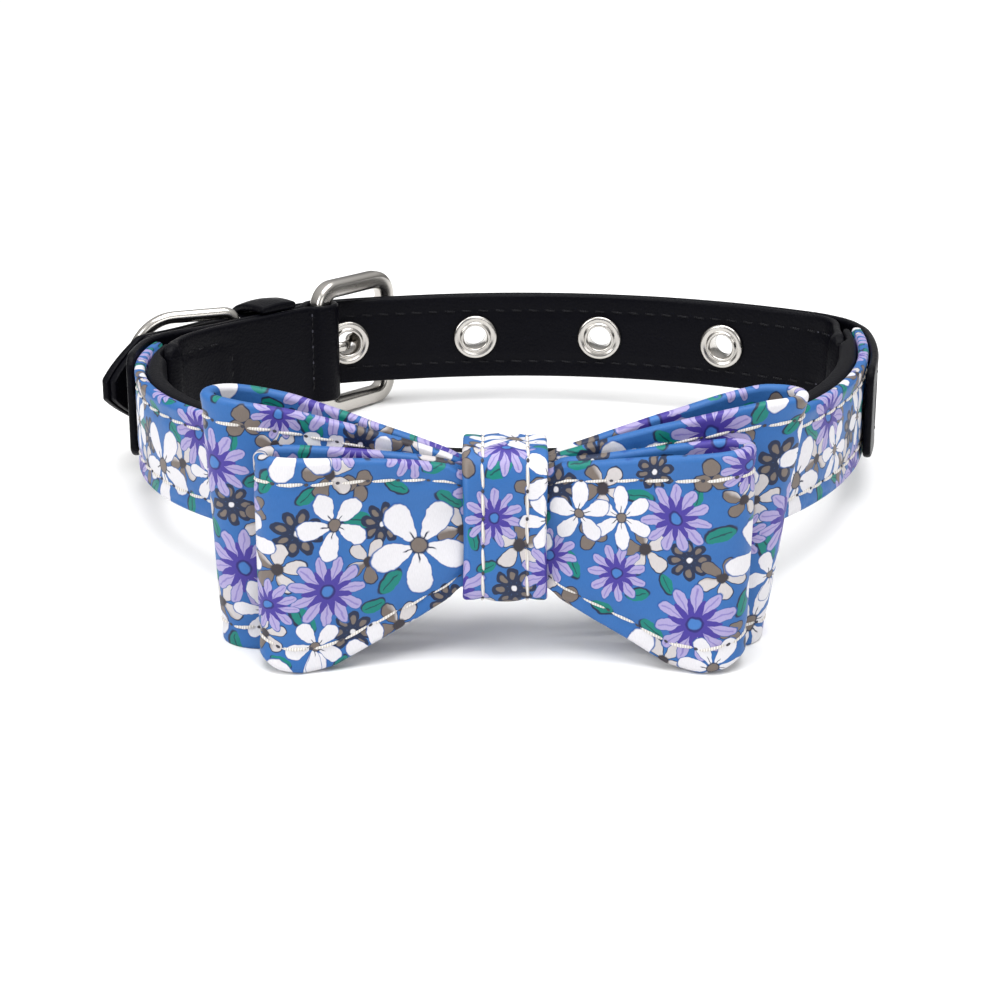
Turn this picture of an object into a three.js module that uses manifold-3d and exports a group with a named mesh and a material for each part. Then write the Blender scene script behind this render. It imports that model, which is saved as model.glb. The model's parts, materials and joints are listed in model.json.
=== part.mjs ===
// Pet bow tie collar, fastened: a padded floral front band between two black straps,
// a layered bow with a knot, a buckle with its prong, a keeper, eyelets and a D-ring.
// Millimetres, +Z up, +X to the right of the bow, the bow faces -Y.
import * as THREE from 'three';
import { mergeVertices } from 'three/addons/utils/BufferGeometryUtils.js';
import Module from 'manifold-3d';

const wasm = await Module();
wasm.setup();

// ---------------------------------------------------------------- driving sizes
const GAP = 0.3;             // air between neighbouring pieces
const STEP = 3.4;            // length of one facet along a strap
const FRONT_Y = 4.5;         // the loop's middle line at the front, behind the knot

// The fastened loop seen from above, anticlockwise from the front centre.
// Each row is one arc: its length and how far it turns.
const LOOP = [
  { length: 36.5, turn: 42.8 },  // front right
  { length: 43.2, turn: 32.6 },  // right side
  { length: 27.7, turn: 18.6 },
  { length: 9.0, turn: 52.1 },   // corner at the back right
  { length: 76.0, turn: 48.4 },  // back
  { length: 9.0, turn: 29.9 },   // bend at the buckle
  { length: 35.2, turn: 2.0 },   // buckle, keeper and D-ring
  { length: 9.0, turn: 34.8 },   // corner at the back left
  { length: 40.4, turn: 52.3 },  // left side
  { length: 24.3, turn: 15.4 },
  { length: 26.7, turn: 31.2 },  // front left
];
const LOOP_LENGTH = LOOP.reduce((sum, arc) => sum + arc.length, 0);
const LOOP_TURN = LOOP.reduce((sum, arc) => sum + arc.turn, 0);

// stations along the loop
const BAND_RIGHT = 103;      // right end of the front band, inside the strap's fork
const BAND_LEFT = 243;       // left end of the front band, inside the short strap's fork
const BUCKLE_BAR = 208.2;
const BUCKLE_FAR = 193.4;
const PRONG_HOLE = 200.6;
const HOLE_SPACING = 22.6;
const KEEPER_FROM = 213;
const KEEPER_TO = 220.5;
const RING_BAR = 224.6;

// thicknesses and widths
const BAND_H = 16;
const COVER_T = 1.6;
const LINING_T = 2.7;
const SKIVED_T = 1.0;        // the lining's ends, thinned to go inside the forks
const PLY_T = 1.3;
const STRAP_H = 15;
const SHORT_H = 17;
const WALL_T = 1.8;          // the bow's padded cloth

const EYELET_R = 3.9;
const EYELET_HOLE_R = 2.05;
const BUCKLE = { height: 24, wire: 3, corner: 4.6 };
const PRONG_T = 1.2;
const FLANGE_T = 0.45;
const RING = { height: 22.2, depth: 20.5, wire: 2.1, swing: 24, straight: 10.5 };
const FOLD_HOLE_R = 2.0;     // leather round the buckle's bar
const KNOT_W = 11.4;
const PITCH = THREE.MathUtils.degToRad(3.2);  // the loop leans back as it stands

// How far each ply lies outside the loop's middle line, by station.
const OUTER_PLY = [
  { s: 77, n: 2.75 }, { s: 90, n: 2.75 }, { s: 104, n: 2.7 }, { s: 113, n: 0.66 }, { s: 124, n: 0.65 },
];
const INNER_PLY = [
  { s: 97, n: -2.15 }, { s: 104, n: -2.1 }, { s: 112, n: -0.66 }, { s: 124, n: -0.65 },
];
// The strap's middle past the back: through the buckle, over the D-ring's bar, to the tip.
const FREE_END = [
  { s: 184, n: 0 }, { s: 192, n: 0 }, { s: 197, n: 0.8 }, { s: 200.6, n: 2.3 }, { s: 204.4, n: 4.3 },
  { s: 208.2, n: 5.1 }, { s: 212, n: 5.1 }, { s: 217, n: 5.5 }, { s: 221, n: 6.3 }, { s: 224.6, n: 6.8 },
  { s: 229, n: 6.5 }, { s: 233, n: 6.0 }, { s: 236.6, n: 5.8 }, { s: 240, n: 6.4 }, { s: 243.5, n: 7.8 },
  { s: 246.5, n: 9.4 },
];
const SHORT_OUTER = [
  { s: 211, n: 0.65 }, { s: 232, n: 0.65 }, { s: 242, n: 2.7 }, { s: 249, n: 2.75 }, { s: 255, n: 2.75 },
];
const SHORT_INNER = [
  { s: 211, n: -0.65 }, { s: 233, n: -0.65 }, { s: 242, n: -2.1 }, { s: 249, n: -2.15 },
];

// The bow's loops from above: the outer faces of the front and the back panel.
const BACK_LOOP_PLAN = [
  { x: 5.9, front: -1.35, back: 2.3 }, { x: 12, front: -1.6, back: 2.7 }, { x: 20, front: -2.2, back: 4.1 },
  { x: 28, front: -2.8, back: 6.2 }, { x: 33, front: -3.1, back: 7.5 }, { x: 37.5, front: -3.0, back: 7.3 },
  { x: 40, front: -2.0, back: 5.6 }, { x: 41.2, front: -0.2, back: 3.9 }, { x: 41.6, front: 1.8, back: 1.9 },
];
const FRONT_LOOP_PLAN = [
  { x: 5.9, front: -5.4, back: -1.75 }, { x: 12, front: -6.5, back: -2.05 }, { x: 20, front: -9.0, back: -2.65 },
  { x: 25.5, front: -11.1, back: -3.2 }, { x: 29.5, front: -11.7, back: -3.5 },
  { x: 32, front: -11.0, back: -3.8 }, { x: 33.1, front: -9.4, back: -5.2 }, { x: 33.5, front: -7.4, back: -7.3 },
];
// The bow's loops from the front: top and bottom edges from left to right.
const BACK_LOOP_EDGES = [
  { x: -42, top: 16.9, bottom: -16.8 }, { x: -40.6, top: 17.7, bottom: -18.2 }, { x: -37, top: 17.3, bottom: -18.3 },
  { x: -29, top: 15.8, bottom: -17.3 }, { x: -20.7, top: 13.7, bottom: -14.9 }, { x: -12.4, top: 11.1, bottom: -11.8 },
  { x: -7.4, top: 9.3, bottom: -9.2 }, { x: -6.1, top: 8.5, bottom: -8.3 }, { x: 6.1, top: 8.5, bottom: -8.3 },
  { x: 7.4, top: 9.3, bottom: -9.2 }, { x: 12.4, top: 10.9, bottom: -11.8 }, { x: 20.7, top: 13.5, bottom: -14.9 },
  { x: 29, top: 15.6, bottom: -17.2 }, { x: 35, top: 17.0, bottom: -18.0 }, { x: 40.6, top: 17.4, bottom: -17.9 },
  { x: 42, top: 16.6, bottom: -16.8 },
];
const FRONT_LOOP_EDGES = [
  { x: -34, top: 10.6, bottom: -13.6 }, { x: -32.8, top: 11.6, bottom: -16.0 }, { x: -30.2, top: 11.7, bottom: -17.8 },
  { x: -27, top: 11.5, bottom: -18.3 }, { x: -23, top: 11.2, bottom: -17.7 }, { x: -17.6, top: 10.7, bottom: -15.0 },
  { x: -12, top: 10.0, bottom: -12.3 }, { x: -7.4, top: 9.2, bottom: -9.6 }, { x: -6.1, top: 8.2, bottom: -8.0 },
  { x: 6.1, top: 8.2, bottom: -8.0 }, { x: 7.4, top: 9.2, bottom: -9.6 }, { x: 12, top: 9.8, bottom: -12.3 },
  { x: 17.6, top: 10.7, bottom: -15.0 }, { x: 22, top: 11.5, bottom: -17.4 }, { x: 26.8, top: 12.2, bottom: -18.3 },
  { x: 30, top: 12.6, bottom: -17.6 }, { x: 32.6, top: 12.7, bottom: -15.8 }, { x: 34, top: 11.8, bottom: -13.2 },
];
// The knot's outline from the side.
const KNOT_OUTER = [
  { y: -7.3, z: -7.8 }, { y: -6.4, z: -9.6 }, { y: -4.6, z: -10.2 }, { y: 7.6, z: -10.0 }, { y: 9.2, z: -9.1 },
  { y: 9.7, z: -7.6 }, { y: 9.7, z: 7.4 }, { y: 9.2, z: 8.9 }, { y: 7.6, z: 9.8 }, { y: 2, z: 10.3 },
  { y: -4.6, z: 11.0 }, { y: -6.5, z: 10.3 }, { y: -7.3, z: 8.6 },
];
const KNOT_INNER = [
  { y: -5.8, z: -8.0 }, { y: -4.9, z: -8.85 }, { y: 7.4, z: -8.7 }, { y: 8.3, z: -7.8 },
  { y: 8.3, z: 7.8 }, { y: 7.4, z: 8.5 }, { y: 2, z: 8.9 }, { y: -4.6, z: 9.6 }, { y: -5.8, z: 8.6 },
];

// ---------------------------------------------------------------- the loop's middle line
function arcPoint(s) {
  let x = 0;
  let y = FRONT_Y;
  let heading = 0;
  let start = 0;
  for (const arc of LOOP) {
    const turn = THREE.MathUtils.degToRad(arc.turn * 360 / LOOP_TURN);
    const radius = arc.length / turn;
    const along = Math.min(s - start, arc.length);
    const next = heading + along / radius;
    const px = x + radius * (Math.sin(next) - Math.sin(heading));
    const py = y + radius * (Math.cos(heading) - Math.cos(next));
    if (s - start <= arc.length) return { x: px, y: py, heading: next };
    x = px;
    y = py;
    heading = next;
    start += arc.length;
  }
  return { x, y, heading };
}

const LOOP_END = arcPoint(LOOP_LENGTH);

// The point n outside the middle line at station s, and the heading there.
function loopPoint(s, n) {
  const station = THREE.MathUtils.euclideanModulo(s, LOOP_LENGTH);
  const p = arcPoint(station);
  const share = station / LOOP_LENGTH;
  return {
    x: p.x - LOOP_END.x * share + n * Math.sin(p.heading),
    y: p.y - (LOOP_END.y - FRONT_Y) * share - n * Math.cos(p.heading),
    heading: p.heading,
  };
}

// ---------------------------------------------------------------- solids and joins
function toManifold(geometry) {
  const g = geometry.clone();
  g.deleteAttribute('normal');
  g.deleteAttribute('uv');
  const merged = mergeVertices(g, 1e-4);
  return new wasm.Manifold(new wasm.Mesh({
    numProp: 3,
    vertProperties: new Float32Array(merged.attributes.position.array),
    triVerts: new Uint32Array(merged.index.array),
  }));
}

function toGeometry(solid) {
  const mesh = solid.getMesh();
  const geometry = new THREE.BufferGeometry();
  geometry.setAttribute('position', new THREE.BufferAttribute(new Float32Array(mesh.vertProperties), 3));
  geometry.setIndex(new THREE.BufferAttribute(new Uint32Array(mesh.triVerts), 1));
  geometry.computeVertexNormals();
  return geometry;
}

const cut = (a, b) => toGeometry(toManifold(a).subtract(toManifold(b)));
const join = (a, b) => toGeometry(toManifold(a).add(toManifold(b)));
const common = (a, b) => toGeometry(toManifold(a).intersect(toManifold(b)));

// An upright solid with the outline of a shape in plan and softened edges.
function upright(shape, height, soften = 0.4) {
  const geometry = new THREE.ExtrudeGeometry(shape, {
    depth: height - 2 * soften,
    bevelEnabled: soften > 0,
    bevelThickness: soften,
    bevelSize: soften,
    bevelOffset: -soften,
    bevelSegments: 1,
    curveSegments: 10,
    steps: 1,
  });
  geometry.translate(0, 0, -height / 2 + soften);
  return geometry;
}

function boxAt(s, n, size) {
  const p = loopPoint(s, n);
  const box = new THREE.BoxGeometry(size.along, size.across, size.tall);
  box.rotateZ(p.heading);
  box.translate(p.x, p.y, 0);
  return box;
}

// A path in plan through rows of { s, n }, with more rows added where they are far apart.
function planPath(rows) {
  const dense = [rows[0]];
  for (let i = 1; i < rows.length; i++) {
    const from = rows[i - 1];
    const to = rows[i];
    const parts = Math.ceil(Math.abs(to.s - from.s) / 6);
    for (let k = 1; k <= parts; k++) {
      dense.push({ s: from.s + (to.s - from.s) * k / parts, n: from.n + (to.n - from.n) * k / parts });
    }
  }
  const points = dense.map((row) => {
    const p = loopPoint(row.s, row.n);
    return new THREE.Vector3(p.x, p.y, 0);
  });
  return new THREE.CatmullRomCurve3(points, false, 'centripetal');
}

function mainRows(from, to, n) {
  const count = Math.max(2, Math.round(Math.abs(to - from) / STEP));
  const rows = [];
  for (let i = 0; i <= count; i++) rows.push({ s: from + (to - from) * i / count, n });
  return rows;
}

// Points along a path, moved sideways to its outer side.
function side(path, offset, step = STEP) {
  const count = Math.max(2, Math.round(path.getLength() / step));
  const points = [];
  for (let i = 0; i <= count; i++) {
    const p = path.getPointAt(i / count);
    const t = path.getTangentAt(i / count);
    points.push(new THREE.Vector2(p.x + offset(i / count) * t.y, p.y - offset(i / count) * t.x));
  }
  return points;
}

function ribbonShape(path, inner, outer) {
  return new THREE.Shape([...side(path, outer), ...side(path, inner).reverse()].reverse());
}

// ---------------------------------------------------------------- front band
function makeCover() {
  const path = planPath(mainRows(BAND_LEFT - LOOP_LENGTH, BAND_RIGHT, 0));
  return upright(ribbonShape(path, () => GAP / 2, () => GAP / 2 + COVER_T), BAND_H, 0.5);
}

function makeLining() {
  const from = BAND_LEFT - LOOP_LENGTH;
  const length = BAND_RIGHT - from;
  const thickness = (t) => {
    const inset = Math.min(t, 1 - t) * length;
    const full = THREE.MathUtils.smoothstep(inset, 6.5, 13);
    return SKIVED_T + (LINING_T - SKIVED_T) * full;
  };
  const path = planPath(mainRows(from, BAND_RIGHT, 0));
  return upright(ribbonShape(path, (t) => -GAP / 2 - thickness(t), () => -GAP / 2), BAND_H - 0.4, 0.45);
}

// ---------------------------------------------------------------- straps
// The long strap's path: along the back at n, then out through the buckle to the tip.
function strapRows(plyRows, n) {
  const back = mainRows(127, 181, n);
  const free = FREE_END.map((row) => ({ s: row.s, n: row.n + n }));
  return [...plyRows, ...back, ...free];
}

function makeEyeletStrap() {
  const half = PLY_T / 2;
  const outer = planPath(strapRows(OUTER_PLY, half));
  const inner = planPath(strapRows(INNER_PLY, -half));
  const fine = STEP * 0.8;
  const outerFace = side(outer, () => half, fine);
  const innerFace = side(inner, () => -half, fine);
  const crotch = loopPoint(115, 0);
  const outerFork = side(planPath(OUTER_PLY.slice(0, 4)), () => -half, fine);
  const innerFork = side(planPath(INNER_PLY.slice(0, 3)), () => half, fine);
  const outline = [
    ...outerFace.reverse(),
    ...outerFork,
    new THREE.Vector2(crotch.x, crotch.y),
    ...innerFork.reverse(),
    ...innerFace,
  ];
  return upright(new THREE.Shape(outline), STRAP_H, 0.35);
}

// Blocks that take the strap's square end down to a blunt point.
function tipCutters() {
  const tip = FREE_END[FREE_END.length - 1];
  const before = FREE_END[FREE_END.length - 3];
  const a = loopPoint(before.s, before.n);
  const b = loopPoint(tip.s, tip.n);
  const heading = Math.atan2(b.y - a.y, b.x - a.x);
  const profile = new THREE.Shape();
  profile.moveTo(1.2, 12);
  profile.lineTo(1.2, 3.4);
  profile.lineTo(-1.0, 5.4);
  profile.lineTo(-4.4, 7.0);
  profile.lineTo(-8.4, 7.7);
  profile.lineTo(-8.4, 12);
  profile.closePath();
  const cutters = [];
  for (const flip of [1, -1]) {
    const block = new THREE.ExtrudeGeometry(profile, { depth: 12, bevelEnabled: false });
    block.translate(0, 0, -6);
    block.rotateX(Math.PI / 2);
    if (flip < 0) block.rotateX(Math.PI);
    block.rotateZ(heading);
    block.translate(b.x, b.y, 0);
    cutters.push(block);
  }
  return cutters;
}

// The middle of the strap's thickness where an eyelet sits, and its direction.
function eyeletSeat(index) {
  const s = PRONG_HOLE - index * HOLE_SPACING;
  if (index > 0) return { ...loopPoint(s, 0), s };
  const path = planPath(strapRows(OUTER_PLY, 0));
  let best = null;
  for (let i = 0; i <= 600; i++) {
    const p = path.getPointAt(i / 600);
    const away = Math.hypot(p.x - loopPoint(s, 2.3).x, p.y - loopPoint(s, 2.3).y);
    const t = path.getTangentAt(i / 600);
    if (!best || away < best.away) best = { x: p.x, y: p.y, heading: Math.atan2(t.y, t.x), away };
  }
  return { ...best, s };
}

const EYELET_SEATS = [0, 1, 2, 3].map(eyeletSeat);

function alignToSeat(geometry, seat) {
  geometry.rotateZ(seat.heading);
  geometry.translate(seat.x, seat.y, 0);
  return geometry;
}

function drilledStrap() {
  let strap = makeEyeletStrap();
  for (const seat of EYELET_SEATS) {
    const peg = new THREE.CylinderGeometry(EYELET_HOLE_R + 0.85, EYELET_HOLE_R + 0.85, 8, 20);
    strap = cut(strap, alignToSeat(peg, seat));
  }
  for (const block of tipCutters()) strap = cut(strap, block);
  return strap;
}

function makeEyelet(seat) {
  const face = PLY_T + GAP;
  const rim = face + FLANGE_T;
  const r = EYELET_HOLE_R;
  const profile = [
    [r, -face], [r + 0.35, -rim], [EYELET_R - 0.5, -rim + 0.05], [EYELET_R, -face],
    [r + 0.5, -face], [r + 0.5, face], [EYELET_R, face], [EYELET_R - 0.5, rim - 0.05],
    [r + 0.35, rim], [r, face], [r, -face],
  ].map(([x, y]) => new THREE.Vector2(x, y));
  return alignToSeat(new THREE.LatheGeometry(profile, 20), seat);
}

// The buckle lies in an upright plane from its bar to its far member: u runs that way,
// v to its outer side.
const FAR_MEMBER = loopPoint(BUCKLE_FAR, PLY_T + GAP + BUCKLE.wire / 2 + 0.4);
const BAR = loopPoint(BUCKLE_BAR, 0);
const BUCKLE_HEADING = Math.atan2(FAR_MEMBER.y - BAR.y, FAR_MEMBER.x - BAR.x);
const BUCKLE_SPAN = Math.hypot(FAR_MEMBER.x - BAR.x, FAR_MEMBER.y - BAR.y);
const PRONG_SLOTS = [
  { u0: 0.5, u1: 5, v0: -2.4, v1: 4.5 },
  { u0: -3.9, u1: 1, v0: 0.2, v1: 4.5 },
];

function toFrame(geometry) {
  geometry.rotateZ(BUCKLE_HEADING);
  geometry.translate(BAR.x, BAR.y, 0);
  return geometry;
}

function makeShortStrap() {
  const half = PLY_T / 2;
  const fine = STEP * 0.8;
  const outerPath = planPath(SHORT_OUTER);
  const innerPath = planPath(SHORT_INNER);
  const crotch = loopPoint(230.5, 0);
  const outline = [
    ...side(outerPath, () => half, fine),
    ...side(planPath(SHORT_OUTER.slice(1)), () => -half, fine).slice(1).reverse(),
    new THREE.Vector2(crotch.x, crotch.y),
    ...side(planPath(SHORT_INNER.slice(1)), () => half, fine).slice(1),
    ...side(innerPath, () => -half, fine).reverse(),
  ].reverse();
  const plies = upright(new THREE.Shape(outline), SHORT_H, 0.35);
  const bar = loopPoint(BUCKLE_BAR, 0);
  const ring = new THREE.Shape();
  ring.absarc(0, 0, FOLD_HOLE_R + PLY_T, 0, Math.PI * 2, false);
  const fold = upright(ring, SHORT_H, 0.35);
  fold.translate(bar.x, bar.y, 0);
  const bore = new THREE.CylinderGeometry(FOLD_HOLE_R, FOLD_HOLE_R, SHORT_H + 4, 20);
  bore.rotateX(Math.PI / 2);
  bore.translate(bar.x, bar.y, 0);
  let strap = cut(join(plies, fold), bore);
  for (const slot of PRONG_SLOTS) {
    const block = new THREE.BoxGeometry(slot.u1 - slot.u0, slot.v1 - slot.v0, 3.2);
    block.translate((slot.u0 + slot.u1) / 2, (slot.v0 + slot.v1) / 2, 0);
    strap = cut(strap, toFrame(block));
  }
  return strap;
}

// ---------------------------------------------------------------- buckle
function roundedRect(halfLong, halfTall, radius) {
  const shape = new THREE.Shape();
  shape.absarc(halfLong - radius, halfTall - radius, radius, 0, Math.PI / 2, false);
  shape.absarc(-halfLong + radius, halfTall - radius, radius, Math.PI / 2, Math.PI, false);
  shape.absarc(-halfLong + radius, -halfTall + radius, radius, Math.PI, Math.PI * 1.5, false);
  shape.absarc(halfLong - radius, -halfTall + radius, radius, Math.PI * 1.5, Math.PI * 2, false);
  return shape;
}

// Stands a flat outline up in the plane that holds Z and the given heading.
function standUp(geometry, from, heading) {
  geometry.rotateX(Math.PI / 2);
  geometry.rotateZ(heading);
  geometry.translate(from.x, from.y, 0);
  return geometry;
}

function makeBuckle() {
  const halfLong = (BUCKLE_SPAN + BUCKLE.wire) / 2;
  const frame = roundedRect(halfLong, BUCKLE.height / 2, BUCKLE.corner);
  frame.holes.push(roundedRect(halfLong - BUCKLE.wire, BUCKLE.height / 2 - BUCKLE.wire, 0.9));
  const soften = 0.75;
  const geometry = new THREE.ExtrudeGeometry(frame, {
    depth: BUCKLE.wire - 2 * soften,
    bevelThickness: soften,
    bevelSize: soften,
    bevelOffset: -soften,
    bevelSegments: 2,
    curveSegments: 5,
  });
  geometry.translate(BUCKLE_SPAN / 2, 0, -BUCKLE.wire / 2 + soften);
  return standUp(geometry, BAR, BUCKLE_HEADING);
}

// The prong hooks over the bar, goes out through the eyelet and rests on the far member.
function makeProng() {
  const inner = 2.0;
  const outer = 3.15;
  const start = THREE.MathUtils.degToRad(-28);
  const stop = THREE.MathUtils.degToRad(164);
  const ring = new THREE.Shape();
  ring.absarc(0, 0, outer, start, stop, false);
  ring.absarc(0, 0, inner, stop, start, true);
  ring.closePath();
  const rest = BUCKLE.wire / 2 + GAP + PRONG_T / 2 + 0.25;
  const middle = new THREE.CatmullRomCurve3([
    [2.5, -0.9], [4.4, -1.2], [6.2, -0.5], [7.75, 1.1], [9.5, 2.5], [12.2, rest],
    [BUCKLE_SPAN + 1.2, rest],
  ].map(([u, v]) => new THREE.Vector3(u, v, 0)), false, 'centripetal');
  const half = PRONG_T / 2;
  const shaft = new THREE.Shape([...side(middle, () => half, 1.6), ...side(middle, () => -half, 1.6).reverse()]);
  return toFrame(join(upright(ring, 1.9, 0.25), upright(shaft, 1.9, 0.25)));
}

// ---------------------------------------------------------------- keeper, ring and tab
function makeKeeper() {
  const keeper = new THREE.Shape();
  const rows = [
    [-0.75, 8.8], [6.6, 8.8], [7.8, 8.2], [8.0, 7.0], [8.0, -7.0], [7.8, -8.2], [6.6, -8.8], [-0.75, -8.8],
    [-0.75, -10.0], [7.0, -10.0], [8.8, -9.0], [9.3, -7.2], [9.3, 7.2], [8.8, 9.0], [7.0, 10.0], [-0.75, 10.0],
  ];
  rows.forEach(([n, z], i) => (i ? keeper.lineTo(n, z) : keeper.moveTo(n, z)));
  keeper.closePath();
  const length = KEEPER_TO - KEEPER_FROM;
  const geometry = new THREE.ExtrudeGeometry(keeper, {
    depth: length - 0.6, bevelThickness: 0.3, bevelSize: 0.3, bevelOffset: -0.3, bevelSegments: 1,
  });
  geometry.translate(0, 0, -length / 2 + 0.3);
  geometry.rotateX(Math.PI / 2);
  const middle = loopPoint((KEEPER_FROM + KEEPER_TO) / 2, 0);
  geometry.rotateZ(middle.heading - Math.PI / 2);
  geometry.translate(middle.x, middle.y, 0);
  return geometry;
}

const RING_N = PLY_T + GAP + RING.wire / 2 + 0.15;
const RING_AXIS = loopPoint(RING_BAR, RING_N);
const RING_HEADING = RING_AXIS.heading - THREE.MathUtils.degToRad(RING.swing);

function dOutline(inset) {
  const half = RING.height / 2 - inset;
  const back = -RING.wire / 2 + inset;
  const front = RING.depth - inset - RING.wire / 2;
  const corner = 3.0 - inset * 0.8;
  const shape = new THREE.Shape();
  shape.absarc(back + corner, half - corner, corner, Math.PI / 2, Math.PI, false);
  shape.absarc(back + corner, -half + corner, corner, Math.PI, Math.PI * 1.5, false);
  shape.absellipse(RING.straight, 0, front - RING.straight, half, -Math.PI / 2, Math.PI / 2, false);
  shape.closePath();
  return shape;
}

function makeRing() {
  const outline = dOutline(0);
  outline.holes.push(dOutline(RING.wire));
  const soften = 0.55;
  const geometry = new THREE.ExtrudeGeometry(outline, {
    depth: RING.wire - 2 * soften,
    bevelThickness: soften,
    bevelSize: soften,
    bevelOffset: -soften,
    bevelSegments: 1,
    curveSegments: 8,
  });
  geometry.translate(0, 0, -RING.wire / 2 + soften);
  return standUp(geometry, RING_AXIS, RING_HEADING);
}

// A leather bridge sewn to the short strap on both sides of the ring's bar.
function makeRingTab() {
  const low = PLY_T + GAP;
  const hump = RING_N + RING.wire / 2 + GAP;
  const rows = [
    [-5.2, low], [-5.2, low + 0.7], [-2.9, low + 0.8], [-1.9, hump + 0.55], [-0.9, hump + 0.85],
    [0.9, hump + 0.85], [1.9, hump + 0.55], [2.9, low + 0.8], [5.2, low + 0.7], [5.2, low],
    [1.75, low], [1.5, RING_N + 0.5], [0.8, hump], [-0.8, hump], [-1.5, RING_N + 0.5], [-1.75, low],
  ];
  const outline = rows.map(([ds, n]) => {
    const p = loopPoint(RING_BAR + ds, n);
    return new THREE.Vector2(p.x, p.y);
  });
  return upright(new THREE.Shape(outline.reverse()), 12, 0.2);
}

// ---------------------------------------------------------------- bow
// A hollow loop of cloth, open above and below: its plan is extruded upwards, its ends
// lean in towards the bottom, and the front view's outline trims it to height.
function planShape(rows) {
  const shape = new THREE.Shape();
  const right = rows.map((row) => new THREE.Vector2(row.x, row.front));
  const rightBack = rows.slice(0, -1).map((row) => new THREE.Vector2(row.x, row.back)).reverse();
  const mirror = (list) => list.map((p) => new THREE.Vector2(-p.x, p.y)).reverse();
  shape.setFromPoints([...right, ...rightBack, ...mirror(rightBack), ...mirror(right)]);
  return shape;
}

function cavity(rows, sign) {
  const inner = rows.filter((row) => row.back - row.front > 2 * WALL_T + 0.5 && row.x > 13);
  const last = rows[rows.length - 1];
  const points = [
    ...inner.map((row) => new THREE.Vector2(Math.min(row.x, last.x - WALL_T - 0.4), row.front + WALL_T)),
    new THREE.Vector2(last.x - WALL_T, (last.front + last.back) / 2),
    ...inner.map((row) => new THREE.Vector2(Math.min(row.x, last.x - WALL_T - 0.4), row.back - WALL_T)).reverse(),
  ];
  const root = inner[0];
  points.push(new THREE.Vector2(root.x - 6, (root.front + root.back) / 2));
  const list = points.map((p) => new THREE.Vector2(p.x * sign, p.y));
  return new THREE.Shape(sign > 0 ? list : list.reverse());
}

function lean(geometry, left, right) {
  const position = geometry.attributes.position;
  for (let i = 0; i < position.count; i++) {
    const x = position.getX(i);
    const drop = (18 - position.getZ(i)) / 36;
    position.setX(i, x * (1 - drop * (x < 0 ? left : right)));
  }
  return geometry;
}

function makeLoop(plan, edges, left, right) {
  const tube = lean(upright(planShape(plan), 44, 0), left, right);
  const top = edges.map((row) => new THREE.Vector2(row.x, row.top));
  const bottom = edges.map((row) => new THREE.Vector2(row.x, row.bottom)).reverse();
  const front = new THREE.ExtrudeGeometry(new THREE.Shape([...top, ...bottom].reverse()), {
    depth: 40, bevelEnabled: false,
  });
  front.rotateX(Math.PI / 2);
  front.translate(0, 20, 0);
  let body = common(tube, front);
  for (const sign of [1, -1]) body = cut(body, lean(upright(cavity(plan, sign), 48, 0), left, right));
  return body;
}

function makeKnot() {
  const outline = (rows) => rows.map((row) => new THREE.Vector2(row.y, row.z));
  const shape = new THREE.Shape(outline(KNOT_OUTER));
  shape.holes.push(new THREE.Path(outline(KNOT_INNER)));
  const geometry = new THREE.ExtrudeGeometry(shape, {
    depth: KNOT_W - 0.8, bevelThickness: 0.4, bevelSize: 0.35, bevelOffset: -0.35, bevelSegments: 1,
  });
  geometry.translate(0, 0, -KNOT_W / 2 + 0.4);
  geometry.rotateX(Math.PI / 2);
  geometry.rotateZ(Math.PI / 2);
  return geometry;
}

// ---------------------------------------------------------------- materials and scene
const floral = () => new THREE.MeshStandardMaterial({ color: 0x5f86c4, roughness: 0.6, metalness: 0 });
const black = () => new THREE.MeshStandardMaterial({ color: 0x1b1b1f, roughness: 0.5, metalness: 0 });
const nickel = () => new THREE.MeshStandardMaterial({ color: 0xd2cfc8, roughness: 0.22, metalness: 1 });

const collar = new THREE.Group();

function place(name, geometry, material) {
  const mesh = new THREE.Mesh(geometry, material);
  mesh.name = name;
  collar.add(mesh);
}

// The ground seen from the leaning collar: the buckle's lowest point touches it.
function lowest(geometry) {
  const position = geometry.attributes.position;
  let low = Infinity;
  for (let i = 0; i < position.count; i++) {
    low = Math.min(low, position.getZ(i) * Math.cos(PITCH) - position.getY(i) * Math.sin(PITCH));
  }
  return low;
}

const buckle = makeBuckle();
const GROUND = lowest(buckle);
const ground = new THREE.BoxGeometry(300, 300, 20);
ground.translate(0, 0, GROUND - 10);
ground.rotateX(PITCH);

place('band_cover', makeCover(), floral());
place('band_lining', makeLining(), black());
place('eyelet_strap', drilledStrap(), black());
place('buckle_strap', makeShortStrap(), black());
EYELET_SEATS.forEach((seat, i) => place(`eyelet_${i + 1}`, makeEyelet(seat), nickel()));
place('buckle_frame', buckle, nickel());
place('buckle_prong', makeProng(), nickel());
place('keeper', makeKeeper(), black());
place('d_ring_tab', makeRingTab(), black());
place('d_ring', makeRing(), nickel());
place('bow_back_loop', cut(makeLoop(BACK_LOOP_PLAN, BACK_LOOP_EDGES, 0.045, 0.13), ground), floral());
place('bow_front_loop', cut(makeLoop(FRONT_LOOP_PLAN, FRONT_LOOP_EDGES, 0, 0.02), ground), floral());
place('bow_knot', makeKnot(), floral());

collar.rotation.x = -PITCH;
const part = new THREE.Group();
part.add(collar);
part.updateMatrixWorld(true);
const box = new THREE.Box3().setFromObject(part, true);
collar.position.set(-(box.min.x + box.max.x) / 2, -(box.min.y + box.max.y) / 2, -box.min.z);
part.updateMatrixWorld(true);

export default part;
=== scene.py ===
# %% [markdown]
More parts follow.
